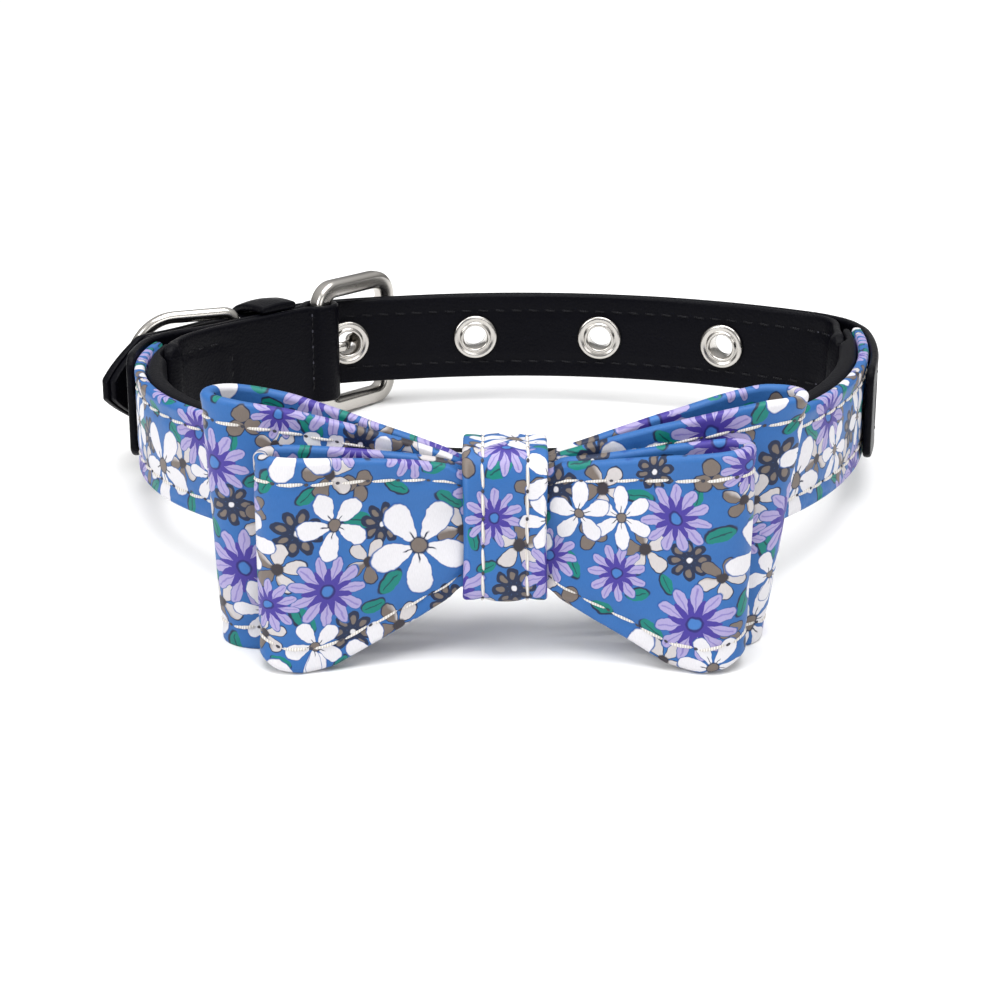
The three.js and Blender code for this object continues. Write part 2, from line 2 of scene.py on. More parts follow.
# # A pet's bow tie collar
# The collar stands fastened in its worn shape: a padded floral band in front with a layered
# bow, two black straps behind, and nickel fittings. The model is loaded first and stays
# fixed. Every piece below is made in that same frame, and stands for one of its nodes.

# %% Load the model
import json
import math
import bpy
import numpy as np
from mathutils import Matrix, Vector


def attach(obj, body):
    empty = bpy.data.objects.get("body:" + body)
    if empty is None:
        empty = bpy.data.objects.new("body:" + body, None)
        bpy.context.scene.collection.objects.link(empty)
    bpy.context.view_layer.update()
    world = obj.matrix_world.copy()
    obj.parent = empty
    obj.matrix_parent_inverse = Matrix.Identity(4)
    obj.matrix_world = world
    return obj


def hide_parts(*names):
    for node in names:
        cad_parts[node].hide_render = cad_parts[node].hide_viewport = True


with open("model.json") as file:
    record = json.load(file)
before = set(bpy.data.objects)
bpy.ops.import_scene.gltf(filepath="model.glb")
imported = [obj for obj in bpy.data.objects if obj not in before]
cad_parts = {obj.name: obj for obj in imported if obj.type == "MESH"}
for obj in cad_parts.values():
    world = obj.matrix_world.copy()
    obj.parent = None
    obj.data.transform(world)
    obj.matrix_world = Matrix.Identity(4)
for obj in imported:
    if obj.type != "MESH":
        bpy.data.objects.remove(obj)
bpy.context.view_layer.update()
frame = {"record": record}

MM = 0.001

# %% [markdown]
# ## The loop that everything follows
# A strap is cut flat and then lies along the loop, so one line is drawn first: arcs, each
# with its length and how far it turns, anticlockwise from the knot. A place on the collar is
# then said as the maker says it: how far along, how far across, and how far out.

# %% The loop's middle line
LOOP = [(36.5, 42.8), (43.2, 32.6), (27.7, 18.6), (9.0, 52.1), (76.0, 48.4), (9.0, 29.9),
        (35.2, 2.0), (9.0, 34.8), (40.4, 52.3), (24.3, 15.4), (26.7, 31.2)]
LOOP_LENGTH = sum(length for length, turn in LOOP)
FRONT_Y = 4.5


def draw_loop(step=0.2):
    total_turn = sum(turn for length, turn in LOOP)
    stations = np.arange(0, LOOP_LENGTH + step / 2, LOOP_LENGTH / round(LOOP_LENGTH / step))
    ends = np.cumsum([0] + [length for length, turn in LOOP])
    bends = np.radians([turn * 360 / total_turn / length for length, turn in LOOP])
    which = np.clip(np.searchsorted(ends, stations, side="right") - 1, 0, len(LOOP) - 1)
    start = np.concatenate([[0], np.cumsum(bends * np.diff(ends))])[which]
    heading = start + (stations - ends[which]) * bends[which]
    gap = np.diff(stations)
    middle = (heading[1:] + heading[:-1]) / 2
    x = np.concatenate([[0], np.cumsum(np.cos(middle) * gap)])
    y = np.concatenate([[0], np.cumsum(np.sin(middle) * gap)])
    share = stations / LOOP_LENGTH
    return stations, x - x[-1] * share, FRONT_Y + y - y[-1] * share, heading


LOOP_S, LOOP_X, LOOP_Y, LOOP_H = draw_loop()


def beside_loop(s, n):
    """The place at station s along the loop, n millimetres out from it."""
    s = np.mod(np.asarray(s, float), LOOP_LENGTH)
    h = np.interp(s, LOOP_S, LOOP_H)
    x = np.interp(s, LOOP_S, LOOP_X) + n * np.sin(h)
    y = np.interp(s, LOOP_S, LOOP_Y) - n * np.cos(h)
    return np.stack([x, y], -1)


def loop_heading(s):
    return float(np.interp(s, LOOP_S, LOOP_H))


print("loop length", round(LOOP_LENGTH, 1), "mm, width", round(float(np.ptp(LOOP_X)), 1))

# %% [markdown]
# ## From the level collar to how it stands
# The collar leans back a little, on the bow's lower corners and the buckle. The D-ring's pin
# is known in both frames, so it ties the level drawing to the standing model.

# %% Level millimetres to standing metres
LEAN = math.radians(3.2)
RING_STATION = 224.6
RING_OUT = 2.8
pin = frame["record"]["behaviour"]["joints"][0]["pos_m"]
pin_level = Vector((*beside_loop(RING_STATION, RING_OUT), 0)) * MM
TURN = Matrix.Rotation(-LEAN, 3, "X")
SHIFT = Vector(pin) - TURN @ pin_level


def standing(points):
    turned = np.asarray(points, float) * MM @ np.array(TURN).T
    return turned + np.array(SHIFT)


print("shift in mm", [round(v / MM, 2) for v in SHIFT])

# %% [markdown]
# ## The camera
# A long lens looks at the bow from in front and a little above, square on to the band, so
# the camera is placed in the level frame and stood up with the collar. It stands a hair to
# the left and low, as a share of its distance.

# %% Camera
LOOK_DOWN = math.radians(18)
DISTANCE = 300.0
LENS_MM, SENSOR_MM = 79.92, 36
ASIDE, ABOVE = 0.002252, 0.008108
ahead = np.array([0, math.cos(LOOK_DOWN), -math.sin(LOOK_DOWN)])
above = np.array([0, math.sin(LOOK_DOWN), math.cos(LOOK_DOWN)])
aside = np.array([1.0, 0, 0])
eye = -(ahead + aside * ASIDE - above * ABOVE) * DISTANCE
bpy.ops.object.camera_add(location=standing(eye[None])[0])
camera = bpy.context.object
camera.name = "camera"
level_turn = Matrix([aside, above, -ahead]).transposed()
camera.rotation_euler = (TURN @ level_turn).to_euler()
camera.data.sensor_width = SENSOR_MM
camera.data.lens = LENS_MM
camera.data.clip_start = 0.01
bpy.context.scene.camera = camera
print("camera", round(camera.location.length, 3), "m away, lens", LENS_MM, "mm")

# %% [markdown]
# ## Lines for straps to lie on
# A strap rarely keeps to the loop: its free end passes out through the buckle, and its fork
# opens round the band. Rows of station and distance out give its own line, smoothed and then
# measured by its own length, with the direction that faces out.

# %% Strap lines
def measured(points):
    steps = np.linalg.norm(np.diff(points, axis=0), axis=1)
    along = np.concatenate([[0], np.cumsum(steps)])
    tangent = np.gradient(points, along, axis=0)
    tangent /= np.linalg.norm(tangent, axis=1, keepdims=True)
    facing = np.stack([tangent[:, 1], -tangent[:, 0]], -1)
    return {"length": float(along[-1]), "along": along, "points": points, "facing": facing}


def soften(values, reach):
    if reach < 1:
        return values
    kernel = np.hanning(2 * reach + 3)
    kernel /= kernel.sum()
    padded = np.pad(values, reach + 1, mode="edge")
    padded[:reach + 1] = 2 * values[0] - values[1:reach + 2][::-1]
    padded[-reach - 1:] = 2 * values[-1] - values[-reach - 2:-1][::-1]
    return np.convolve(padded, kernel, mode="valid")


def strap_line(rows, reach=14, step=0.25):
    s = np.arange(rows[0][0], rows[-1][0], step)
    n = np.interp(s, [row[0] for row in rows], [row[1] for row in rows])
    line = measured(beside_loop(s, soften(n, reach)))
    line["station"] = s
    return line


def follow(line, along):
    """Where a line is, and which way it faces, at a length along it."""
    columns = [*line["points"].T, *line["facing"].T]
    return [np.interp(along, line["along"], column) for column in columns]


def lay_along(line):
    def place(flat):
        x, y, fx, fy = follow(line, flat[:, 0])
        return np.stack([x + flat[:, 2] * fx, y + flat[:, 2] * fy, flat[:, 1]], -1)
    return place


def station_along(line, s):
    return float(np.interp(s, line["station"], line["along"]))


# %% [markdown]
# ## Everyday moves
# An operator acts on all that is selected, so each step first selects just what it needs.
# The moves below are the ones that nearly every piece uses: size and place a new primitive in
# edit mode, give it a wall with rounded edges, and turn its faces outwards.

# %% Selecting and shaping
def only(*objects):
    bpy.ops.object.select_all(action="DESELECT")
    for obj in objects:
        obj.select_set(True)
    bpy.context.view_layer.objects.active = objects[0]


def nothing_selected():
    bpy.ops.object.select_all(action="DESELECT")


def resize_and_move(size, shift):
    bpy.ops.object.mode_set(mode="EDIT")
    bpy.ops.mesh.select_all(action="SELECT")
    bpy.ops.transform.resize(value=size)
    bpy.ops.transform.translate(value=shift)
    bpy.ops.object.mode_set(mode="OBJECT")


def face_outwards(obj, merge=0.0):
    only(obj)
    bpy.ops.object.mode_set(mode="EDIT")
    bpy.ops.mesh.select_all(action="SELECT")
    if merge:
        bpy.ops.mesh.remove_doubles(threshold=merge)
    bpy.ops.mesh.normals_make_consistent(inside=False)
    bpy.ops.object.mode_set(mode="OBJECT")


def thicken(obj, thick, edge, segments, angle):
    """A wall about the middle, then rounded edges, both applied."""
    wall = obj.modifiers.new("thickness", "SOLIDIFY")
    wall.thickness = thick
    wall.offset = 0
    rim = obj.modifiers.new("rounded_edge", "BEVEL")
    rim.width = edge
    rim.segments = segments
    rim.limit_method = "ANGLE"
    rim.angle_limit = math.radians(angle)
    apply_modifiers(obj)


def apply_modifiers(obj):
    only(obj)
    for modifier in list(obj.modifiers):
        bpy.ops.object.modifier_apply(modifier=modifier.name)


def read_points(obj):
    flat = np.empty(len(obj.data.vertices) * 3)
    obj.data.vertices.foreach_get("co", flat)
    return flat.reshape(-1, 3)


def write_points(obj, points):
    obj.data.vertices.foreach_set("co", np.asarray(points, float).ravel())
    obj.data.update()


# %% [markdown]
# ## A flat strip, and how it is laid
# Leather and cloth start flat. A grid gets its thickness from Solidify and its turned or
# worn edges from Bevel while it is still flat, where both are exact. Its print is measured in
# millimetres on the flat piece, round the turned edges too, and only then is it laid in
# place, so the print goes round every bend as it does on a real one.

# %% Strips
def flat_strip(name, length, width, thick, step, edge, segments=3):
    nothing_selected()
    bpy.ops.mesh.primitive_grid_add(x_subdivisions=max(2, round(length / step)),
                                    y_subdivisions=max(2, round(width / step)), size=1)
    strip = bpy.context.object
    strip.name = name
    resize_and_move((length, width, 1), (length / 2, 0, 0))
    thicken(strip, thick, edge, segments, 60)
    return strip


def measure_print(obj, along=0.0, across=0.0, width=16.0, thick=1.6, step=0.0):
    points = read_points(obj)
    past = np.clip((np.abs(points[:, 1]) - width / 2 + thick / 2) / (thick / 2), 0, 1)
    wrap = np.sign(points[:, 1]) * past * (thick / 2 - points[:, 2])
    places = np.stack([points[:, 0] + along, points[:, 1] + wrap + across], -1) + step
    corners = np.empty(len(obj.data.loops), int)
    obj.data.loops.foreach_get("vertex_index", corners)
    layer = obj.data.uv_layers.active or obj.data.uv_layers.new(name="print_mm")
    layer.name = "print_mm"
    layer.data.foreach_set("uv", (places[corners] * MM).ravel())


def lay_down(obj, place):
    write_points(obj, standing(place(read_points(obj))))
    only(obj)
    bpy.ops.object.shade_smooth()


# %% [markdown]
# ## Punching holes
# A hole is punched while the leather is flat, as on a bench: a plain cutter goes through and
# a Boolean takes its shape away. Several cutters are joined first, so one cut makes them all.

# %% Joining and punching
def join_as(name, pieces):
    only(*pieces)
    if len(pieces) > 1:
        bpy.ops.object.join()
    pieces[0].name = name
    pieces[0].data.name = name
    return pieces[0]


def punch(obj, cutters):
    tool = join_as("punch", cutters)
    hole = obj.modifiers.new("punch", "BOOLEAN")
    hole.object = tool
    hole.solver = "EXACT"
    apply_modifiers(obj)
    bpy.data.objects.remove(tool)


def round_cutter(x, radius):
    nothing_selected()
    bpy.ops.mesh.primitive_cylinder_add(vertices=40, radius=radius, depth=12, location=(x, 0, 0))
    bpy.ops.object.transform_apply(location=True, rotation=True, scale=True)
    return bpy.context.object


def box_cutter(low, high):
    nothing_selected()
    middle = [(a + b) / 2 for a, b in zip(low, high)]
    bpy.ops.mesh.primitive_cube_add(size=1, location=middle)
    bpy.context.object.scale = [b - a for a, b in zip(low, high)]
    bpy.ops.object.transform_apply(location=True, rotation=True, scale=True)
    return bpy.context.object


# %% [markdown]
# ## Stitches
# A seam is a row of short thread lengths that dip into the cloth at each end. One stitch is
# a squashed sphere of a few faces, and an Array repeats it along the flat seam. The row is
# then laid with the same rule as its strip, so it follows every curve.

# %% A row of stitches
SLANT = 0.11
# size of the small dark spot that is painted as the shade inside each needle hole
NEEDLE_HOLE_SHADE = (0.3, 0.22, 0.12)
DIP = 1.1


def stitch_row(start, length, across, out, pitch=4.1, thread=0.26, run=0.93, hole=False):
    nothing_selected()
    bpy.ops.mesh.primitive_uv_sphere_add(segments=8, ring_count=7, radius=1)
    row = bpy.context.object
    count = max(1, int(length / pitch))
    first = start + (length - count * pitch) / 2
    reach = pitch * run / 2
    # with hole set, the row is of small dark spots at the stitch ends instead of thread: painted
    # shade in the needle holes
    if hole:
        resize_and_move(NEEDLE_HOLE_SHADE, (first, across, out))
    else:
        resize_and_move((reach, thread, thread), (first + pitch / 2, across, out))
    repeat = row.modifiers.new("row", "ARRAY")
    repeat.use_relative_offset = False
    repeat.use_constant_offset = True
    repeat.constant_offset_displace = (pitch, 0, 0)
    repeat.count = count
    apply_modifiers(row)
    if hole:
        return row
    points = read_points(row)
    middle = (np.floor((points[:, 0] - first) / pitch) + 0.5) * pitch + first
    away = (points[:, 0] - middle) / reach
    points[:, 2] -= np.sign(out) * thread * DIP * np.clip(np.abs(away), 0, 1) ** 3
    points[:, 1] += SLANT * away
    write_points(row, points)
    return row


print("a stitch leans", SLANT, "mm to each side of its seam")

# %% [markdown]
# ## Finishes
# Every finish is a small set of nodes. A helper keeps them readable: it adds a node, sets
# its values and joins its inputs.

# %% Node helper
class Finish:
    def __init__(self, tree):
        self.tree = tree

    def node(self, kind, inputs=None, **settings):
        made = self.tree.nodes.new("ShaderNode" + kind)
        for name, value in settings.items():
            setattr(made, name, value)
        for key, value in (inputs or {}).items():
            socket = made.inputs[key]
            if isinstance(value, bpy.types.NodeSocket):
                self.tree.links.new(value, socket)
            else:
                socket.default_value = value
        return made

    def sum(self, operation, *values):
        return self.node("Math", dict(enumerate(values)), operation=operation).outputs[0]

    def vector(self, operation, *values):
        made = self.node("VectorMath", dict(enumerate(values)), operation=operation)
        return made.outputs[0]

    def paint(self, mask, under, colour):
        return self.node("Mix", {0: mask, 6: under, 7: colour}, data_type="RGBA").outputs[2]

    def object_place(self):
        return self.node("TexCoord").outputs["Object"]

    def noise(self, place, scale, detail=2.0):
        made = self.node("TexNoise", {"Vector": place, "Scale": scale, "Detail": detail})
        return made.outputs[0]

    def give(self, **sockets):
        for name, socket in sockets.items():
            self.tree.links.new(socket, self.shader.inputs[name.replace("_", " ")])

    def bump(self, height, strength, distance=0.0003):
        made = self.node("Bump", {"Height": height, "Strength": strength, "Distance": distance})
        self.give(Normal=made.outputs[0])


def new_material(name, **surface):
    material = bpy.data.materials.new(name)
    material.use_nodes = True
    finish = Finish(material.node_tree)
    finish.shader = material.node_tree.nodes["Principled BSDF"]
    for key, value in surface.items():
        finish.shader.inputs[key.replace("_", " ")].default_value = value
    return material, finish


def srgb(r, g, b):
    def line(v):
        v /= 255
        return v / 12.92 if v <= 0.04045 else ((v + 0.055) / 1.055) ** 2.4
    return (line(r), line(g), line(b), 1.0)


print("mid grey as light:", round(srgb(128, 128, 128)[0], 3))

# %% [markdown]
# ### The printed cloth
# The cloth is a smooth leatherette with a small flower print on mid blue. A real print is a
# tile that repeats, so the pattern is a tile too: a short chart of flowers, each with its
# kind, place, turn and size. Each kind is one node group that wraps at the tile's edge and
# paints over what is under it. Petals are ellipses set round a heart by the angle.

# %% Inks and pens
TILE = 36.0
INK_LOAD = 0.72


def ink(r, g, b):
    return tuple(value * INK_LOAD for value in srgb(r, g, b)[:3]) + (1.0,)


INK = {
    "white": ink(248, 246, 250), "lilac": ink(184, 174, 222), "mauve": ink(150, 138, 204),
    "violet": ink(74, 60, 162), "deep": ink(42, 38, 118), "taupe": ink(128, 116, 108),
    "umber": ink(60, 54, 60), "slate": ink(30, 44, 76), "green": ink(4, 136, 124),
    "pine": ink(8, 70, 82), "cream": ink(222, 216, 216), "sky": ink(34, 92, 170),
    "heart": ink(70, 130, 205),
}


def begin_kind(name):
    group = bpy.data.node_groups.new(name, "ShaderNodeTree")
    for label, kind, side in [
            ("Print", "Vector", "INPUT"), ("Place", "Vector", "INPUT"), ("Turn", "Float", "INPUT"),
            ("Enlarge", "Float", "INPUT"), ("Under", "Color", "INPUT"),
            ("Colour", "Color", "OUTPUT"), ("Next", "Vector", "OUTPUT")]:
        group.interface.new_socket(label, in_out=side, socket_type="NodeSocket" + kind)
    pen = Finish(group)
    given = group.nodes.new("NodeGroupInput").outputs
    pen.print_in = given["Print"]
    away = pen.vector("SUBTRACT", given["Print"], given["Place"])
    away = pen.vector("WRAP", away, (TILE / 2, TILE / 2, 1), (-TILE / 2, -TILE / 2, -1))
    away = pen.node("VectorMath", {0: away, 3: given["Enlarge"]}, operation="SCALE").outputs[0]
    far = pen.node("VectorMath", {0: away}, operation="LENGTH").outputs[1]
    split = pen.node("SeparateXYZ", {0: away}).outputs
    angle = pen.sum("ADD", pen.sum("ARCTAN2", split[1], split[0]), given["Turn"])
    return pen, far, angle, given["Under"]


def end_kind(pen, colour):
    # the next flower waits for this one, so that few values are held at a time
    chained = pen.vector("MULTIPLY_ADD", colour, (1e-7, 1e-7, 1e-7), pen.print_in)
    out = pen.tree.nodes.new("NodeGroupOutput")
    pen.tree.links.new(colour, out.inputs["Colour"])
    pen.tree.links.new(chained, out.inputs["Next"])


def petals(pen, far, angle, count, reach, length, width, taper=0.0, twist=0.0):
    """Ellipses set round a heart: how far through a petal, and how far to its side."""
    share = 2 * math.pi / count
    turned = pen.sum("FRACT", pen.sum("MULTIPLY_ADD", angle, 1 / share, 0.5 + twist))
    theta = pen.sum("MULTIPLY_ADD", turned, share, -share / 2)
    ahead = pen.sum("MULTIPLY", far, pen.sum("COSINE", theta))
    along = pen.sum("MULTIPLY_ADD", ahead, 1 / length, -reach / length)
    wide = pen.sum("MULTIPLY_ADD", along, taper * width, width)
    side = pen.sum("DIVIDE", pen.sum("MULTIPLY", far, pen.sum("SINE", theta)), wide)
    spread = pen.sum("MULTIPLY_ADD", along, along, pen.sum("MULTIPLY", side, side))
    return spread, side


def inside(pen, value, limit, edge=8.0):
    soft = pen.node("Math", {0: value, 1: -edge, 2: limit * edge},
                    operation="MULTIPLY_ADD", use_clamp=True)
    return soft.outputs[0]


def stroke(pen, off, half, edge, value, limit, fade):
    """A thin line where off is small, kept to where value is under its limit."""
    line = inside(pen, pen.sum("ABSOLUTE", off), half, edge)
    return pen.sum("MULTIPLY", line, inside(pen, value, limit, fade))


def coats(pen, colour, *layers):
    for value, limit, edge, shade in layers:
        colour = pen.paint(inside(pen, value, limit, edge), colour, INK[shade])
    return colour


print("inks:", len(INK), "tile", TILE, "mm")

# %% [markdown]
# A flower is printed in coats, from its dark outline up to its heart. Each coat says what is
# measured, how far it reaches, how crisp its edge is, and its ink. All sizes are in
# millimetres or in petal lengths. First come the white blossoms, with long petals, fine rays
# and a taupe heart, and then the lilac daisy with violet inner petals and a blue heart.

# %% White blossoms and lilac daisy
for name, count, width in [("white_blossom", 5, 1.75), ("white_star", 6, 1.45)]:
    pen, far, angle, colour = begin_kind(name)
    spread, side = petals(pen, far, angle, count, 3.9, 3.1, width, taper=0.42)
    colour = coats(pen, colour, (spread, 1.16, 7, "sky"), (spread, 1.0, 8, "white"))
    rays = stroke(pen, side, 0.12, 14, far, 2.6, 2)
    rays = pen.sum("MULTIPLY", rays, inside(pen, spread, 1.0))
    colour = pen.paint(rays, colour, INK["slate"])
    end_kind(pen, coats(pen, colour, (far, 1.42, 4, "slate"), (far, 1.12, 6, "taupe")))

pen, far, angle, colour = begin_kind("lilac_daisy")
spread, side = petals(pen, far, angle, 11, 3.7, 2.2, 0.82, taper=0.3)
colour = coats(pen, colour, (spread, 1.25, 5, "sky"), (spread, 1.0, 8, "lilac"))
colour = pen.paint(stroke(pen, side, 0.18, 9, spread, 0.7, 8), colour, INK["mauve"])
spread, side = petals(pen, far, angle, 11, 1.9, 2.1, 0.52, taper=-0.2, twist=0.5)
end_kind(pen, coats(pen, colour, (spread, 1.0, 8, "violet"), (far, 1.75, 3, "violet"),
                    (far, 1.3, 5, "deep"), (far, 0.95, 5, "heart")))

# %% [markdown]
# The small flowers fill the gaps: a cream blossom with one taupe side, a slate flower with
# dotted petals and a white eye, and a three-lobed clover. The leaf is one oval with a dark
# line under one side, as if the printing plates were a little out of place.

# %% Small flowers and leaf
pen, far, angle, colour = begin_kind("little_blossom")
spread, side = petals(pen, far, angle, 5, 1.85, 1.4, 0.85, taper=0.35)
petal = coats(pen, INK["cream"], (pen.sum("SINE", angle), -0.2, 3, "taupe"))
colour = coats(pen, colour, (spread, 1.25, 5, "slate"))
colour = pen.paint(inside(pen, spread, 0.95), colour, petal)
end_kind(pen, coats(pen, colour, (far, 0.85, 5, "umber")))

pen, far, angle, colour = begin_kind("slate_flower")
spread, side = petals(pen, far, angle, 8, 2.1, 1.45, 0.86, taper=0.25)
end_kind(pen, coats(pen, colour, (spread, 1.0, 8, "slate"), (spread, 0.3, 8, "taupe"),
                    (far, 1.05, 5, "slate"), (far, 0.5, 7, "white")))

pen, far, angle, colour = begin_kind("taupe_clover")
spread, side = petals(pen, far, angle, 3, 1.3, 1.25, 1.1)
end_kind(pen, coats(pen, colour, (spread, 1.22, 5, "slate"), (spread, 0.9, 8, "taupe")))

pen, far, angle, colour = begin_kind("leaf")
x = pen.sum("DIVIDE", pen.sum("MULTIPLY", far, pen.sum("COSINE", angle)), 2.0)
y = pen.sum("DIVIDE", pen.sum("MULTIPLY", far, pen.sum("SINE", angle)), 0.98)
x_squared = pen.sum("MULTIPLY", x, x)
blade = pen.sum("ADD", x_squared, pen.sum("MULTIPLY", y, y))
low = pen.sum("ADD", y, 0.22)
under = pen.sum("ADD", x_squared, pen.sum("MULTIPLY", low, low))
colour = coats(pen, colour, (under, 1.3, 4, "slate"), (blade, 1.0, 6, "green"))
end_kind(pen, pen.paint(stroke(pen, y, 0.14, 9, blade, 0.6, 6), colour, INK["pine"]))
print("flower kinds:", [g.name for g in bpy.data.node_groups])

# %% [markdown]
# The chart below is this tile's own arrangement. Leaves come first and white blossoms last,
# as they lie on top. Small noise bends the outlines, so that no petal looks ruled.

# %% The printed cloth
FLOWER_CHART = [  # kind, then x, y, turn and size of each
    ("leaf", [
        (9.6, 12.6, 0.6, 1.0), (1.4, 1.6, 2.3, 1.05), (21.6, 16.6, 1.9, 0.9),
        (33.0, 10.6, 0.2, 1.15), (18.2, 26.4, 2.7, 1.0), (34.4, 20.6, 1.2, 0.95),
        (7.6, 17.0, 2.9, 0.8), (25.6, 33.6, 0.9, 1.1), (13.2, 2.6, 1.5, 0.9),
        (7.4, 30.8, 0.1, 1.0), (30.2, 26.6, 2.2, 0.8), (19.0, 3.2, 0.5, 0.75),
        (11.6, 19.0, 1.1, 0.75), (26.4, 14.4, 2.5, 0.8), (15.2, 31.4, 1.8, 0.75),
        (2.6, 14.8, 0.4, 0.8), (35.0, 34.4, 2.9, 0.8), (22.8, 27.6, 0.5, 0.65)]),
    ("taupe_clover", [
        (16.8, 34.2, 0.4, 1.0), (33.2, 15.4, 1.3, 0.95), (0.9, 24.8, 2.0, 0.9),
        (20.2, 12.6, 1.0, 0.7)]),
    ("slate_flower", [
        (25.2, 9.6, 0.3, 0.95), (0.4, 9.8, 1.0, 0.85), (14.4, 22.6, 0.7, 0.85),
        (32.0, 31.0, 0.1, 0.9), (9.4, 34.2, 0.5, 0.75)]),
    ("little_blossom", [
        (11.4, 8.2, 0.4, 1.1), (22.6, 4.6, 1.1, 1.1), (8.4, 23.4, 2.0, 1.2),
        (29.4, 17.2, 0.8, 1.1), (18.6, 20.4, 2.6, 0.95), (2.4, 31.4, 1.6, 1.1),
        (34.4, 4.8, 0.2, 1.0), (20.8, 31.2, 0.9, 0.85)]),
    ("lilac_daisy", [
        (15.4, 13.8, 0.2, 0.92), (4.6, 19.8, 0.9, 0.7), (28.8, 1.2, 0.5, 0.88),
        (21.4, 35.4, 1.3, 0.62), (31.2, 21.6, 0.1, 0.66), (12.4, 28.2, 0.7, 0.8)]),
    ("white_blossom", [(5.4, 6.4, 0.3, 0.98)]),
    ("white_star", [(25.2, 22.6, 0.9, 0.92), (5.0, 27.6, 1.5, 0.62)]),
    ("white_blossom", [(29.8, 10.2, 0.5, 0.68)]),
    ("white_star", [(18.0, 7.8, 1.1, 0.66)]),
    ("white_blossom", [(35.2, 27.8, 2.2, 0.62), (27.0, 29.4, 1.7, 0.55)]),
]

floral_print, finish = new_material("floral_print", Roughness=0.5, Specular_IOR_Level=0.32)
uv = finish.node("UVMap", uv_map="print_mm").outputs[0]
in_mm = finish.vector("MULTIPLY", uv, (1 / MM, 1 / MM, 0))
wobble = finish.node("TexNoise", {"Vector": in_mm, "Scale": 0.55}).outputs["Color"]
drift = finish.vector("SUBTRACT", wobble, (0.5, 0.5, 0.5))
drawn = finish.vector("ADD", in_mm, finish.vector("MULTIPLY", drift, (0.9, 0.9, 0)))
mottle = finish.noise(in_mm, 0.12, 3.0)
colour = finish.paint(mottle, ink(40, 104, 178), ink(60, 122, 194))
flowers = 0
for kind, places in FLOWER_CHART:
    for x, y, turn, size in places:
        flower = finish.node("Group", node_tree=bpy.data.node_groups[kind])
        finish.tree.links.new(drawn, flower.inputs["Print"])
        finish.tree.links.new(colour, flower.inputs["Under"])
        flower.inputs["Place"].default_value = (x, y, 0)
        flower.inputs["Turn"].default_value = turn
        flower.inputs["Enlarge"].default_value = 1 / size
        colour, drawn = flower.outputs["Colour"], flower.outputs["Next"]
        flowers += 1
grain_place = finish.object_place()
grain = finish.sum("MULTIPLY", finish.noise(grain_place, 1500.0, 3.0), 0.5)
rise = finish.sum("MULTIPLY", finish.noise(grain_place, 260.0), 0.5)
finish.bump(finish.sum("ADD", grain, rise), 0.3)
fibre = finish.noise(finish.vector("MULTIPLY", in_mm, (9.0, 1.6, 0)), 1.0)
worn = finish.node("Mix", {0: 1.0, 6: colour}, data_type="RGBA", blend_type="MULTIPLY")
finish.tree.links.new(finish.sum("MULTIPLY_ADD", fibre, 0.22, 0.86), worn.inputs[7])
finish.give(Base_Color=worn.outputs[2], Roughness=finish.sum("MULTIPLY_ADD", mottle, 0.16, 0.42))
print("flowers in the tile:", flowers)

# %% [markdown]
# ### Black leatherette, lining, nickel and thread
# The straps are embossed with a fine grain of little cells and shine on their tops. The
# lining is softer and duller. Nickel is a warm mirror with faint hand marks.

# %% Other finishes
def black_hide(name, base, gloss, grain, depth):
    material, finish = new_material(name, Roughness=gloss, Specular_IOR_Level=0.055)
    place = finish.object_place()
    cells = finish.node("TexVoronoi", {"Vector": place, "Scale": grain}).outputs["Distance"]
    folds = finish.noise(place, grain * 0.22, 4.0)
    finish.bump(finish.sum("MULTIPLY_ADD", folds, 0.7, cells), depth)
    wear_and_hole_shade = finish.noise(place, 70.0, 4.0)
    worn = tuple(v * 1.9 for v in base[:3]) + (1.0,)
    finish.give(Base_Color=finish.paint(wear_and_hole_shade, base, worn),
                Roughness=finish.sum("MULTIPLY_ADD", wear_and_hole_shade, 0.25, gloss - 0.12))
    return material


black_leather = black_hide("black_leather", (0.0020, 0.0020, 0.0032, 1), 0.34, 2600.0, 0.22)
black_lining = black_hide("black_lining", (0.0030, 0.0030, 0.0042, 1), 0.48, 3200.0, 0.16)

nickel, finish = new_material("nickel", Metallic=1.0, Roughness=0.15)
place = finish.object_place()
finish.bump(finish.noise(place, 320.0, 3.0), 0.05)
tint = finish.noise(place, 90.0, 3.0)
finish.give(Base_Color=finish.paint(tint, (0.46, 0.435, 0.40, 1), (0.60, 0.58, 0.55, 1)),
            Roughness=finish.sum("MULTIPLY_ADD", tint, 0.16, 0.14))


def thread(name, light, dark, gloss):
    material, finish = new_material(name, Roughness=gloss, Specular_IOR_Level=0.15)
    waves = {"Vector": finish.object_place(), "Scale": 900.0, "Distortion": 2.0}
    twist = finish.node("TexWave", waves).outputs[1]
    finish.give(Base_Color=finish.paint(twist, light, dark))
    finish.bump(twist, 0.4, 0.0002)
    return material


cream_thread = thread("cream_thread", srgb(230, 226, 222), srgb(192, 186, 178), 0.6)
black_thread = thread("black_thread", (0.002, 0.002, 0.003, 1), (0.006, 0.006, 0.009, 1), 0.2)
# near-black finish for the dark spots painted as the shade inside the needle holes
needle_hole_shade, finish = new_material("needle_hole_shade", Roughness=0.8)
# noise that varies how dark the painted hole shade is from spot to spot
wear_and_hole_shade = finish.noise(finish.object_place(), 900.0)
finish.give(Base_Color=finish.paint(wear_and_hole_shade, (0.02, 0.02, 0.03, 1), (0.07, 0.07, 0.09, 1)))
print("finishes:", [material.name for material in bpy.data.materials])

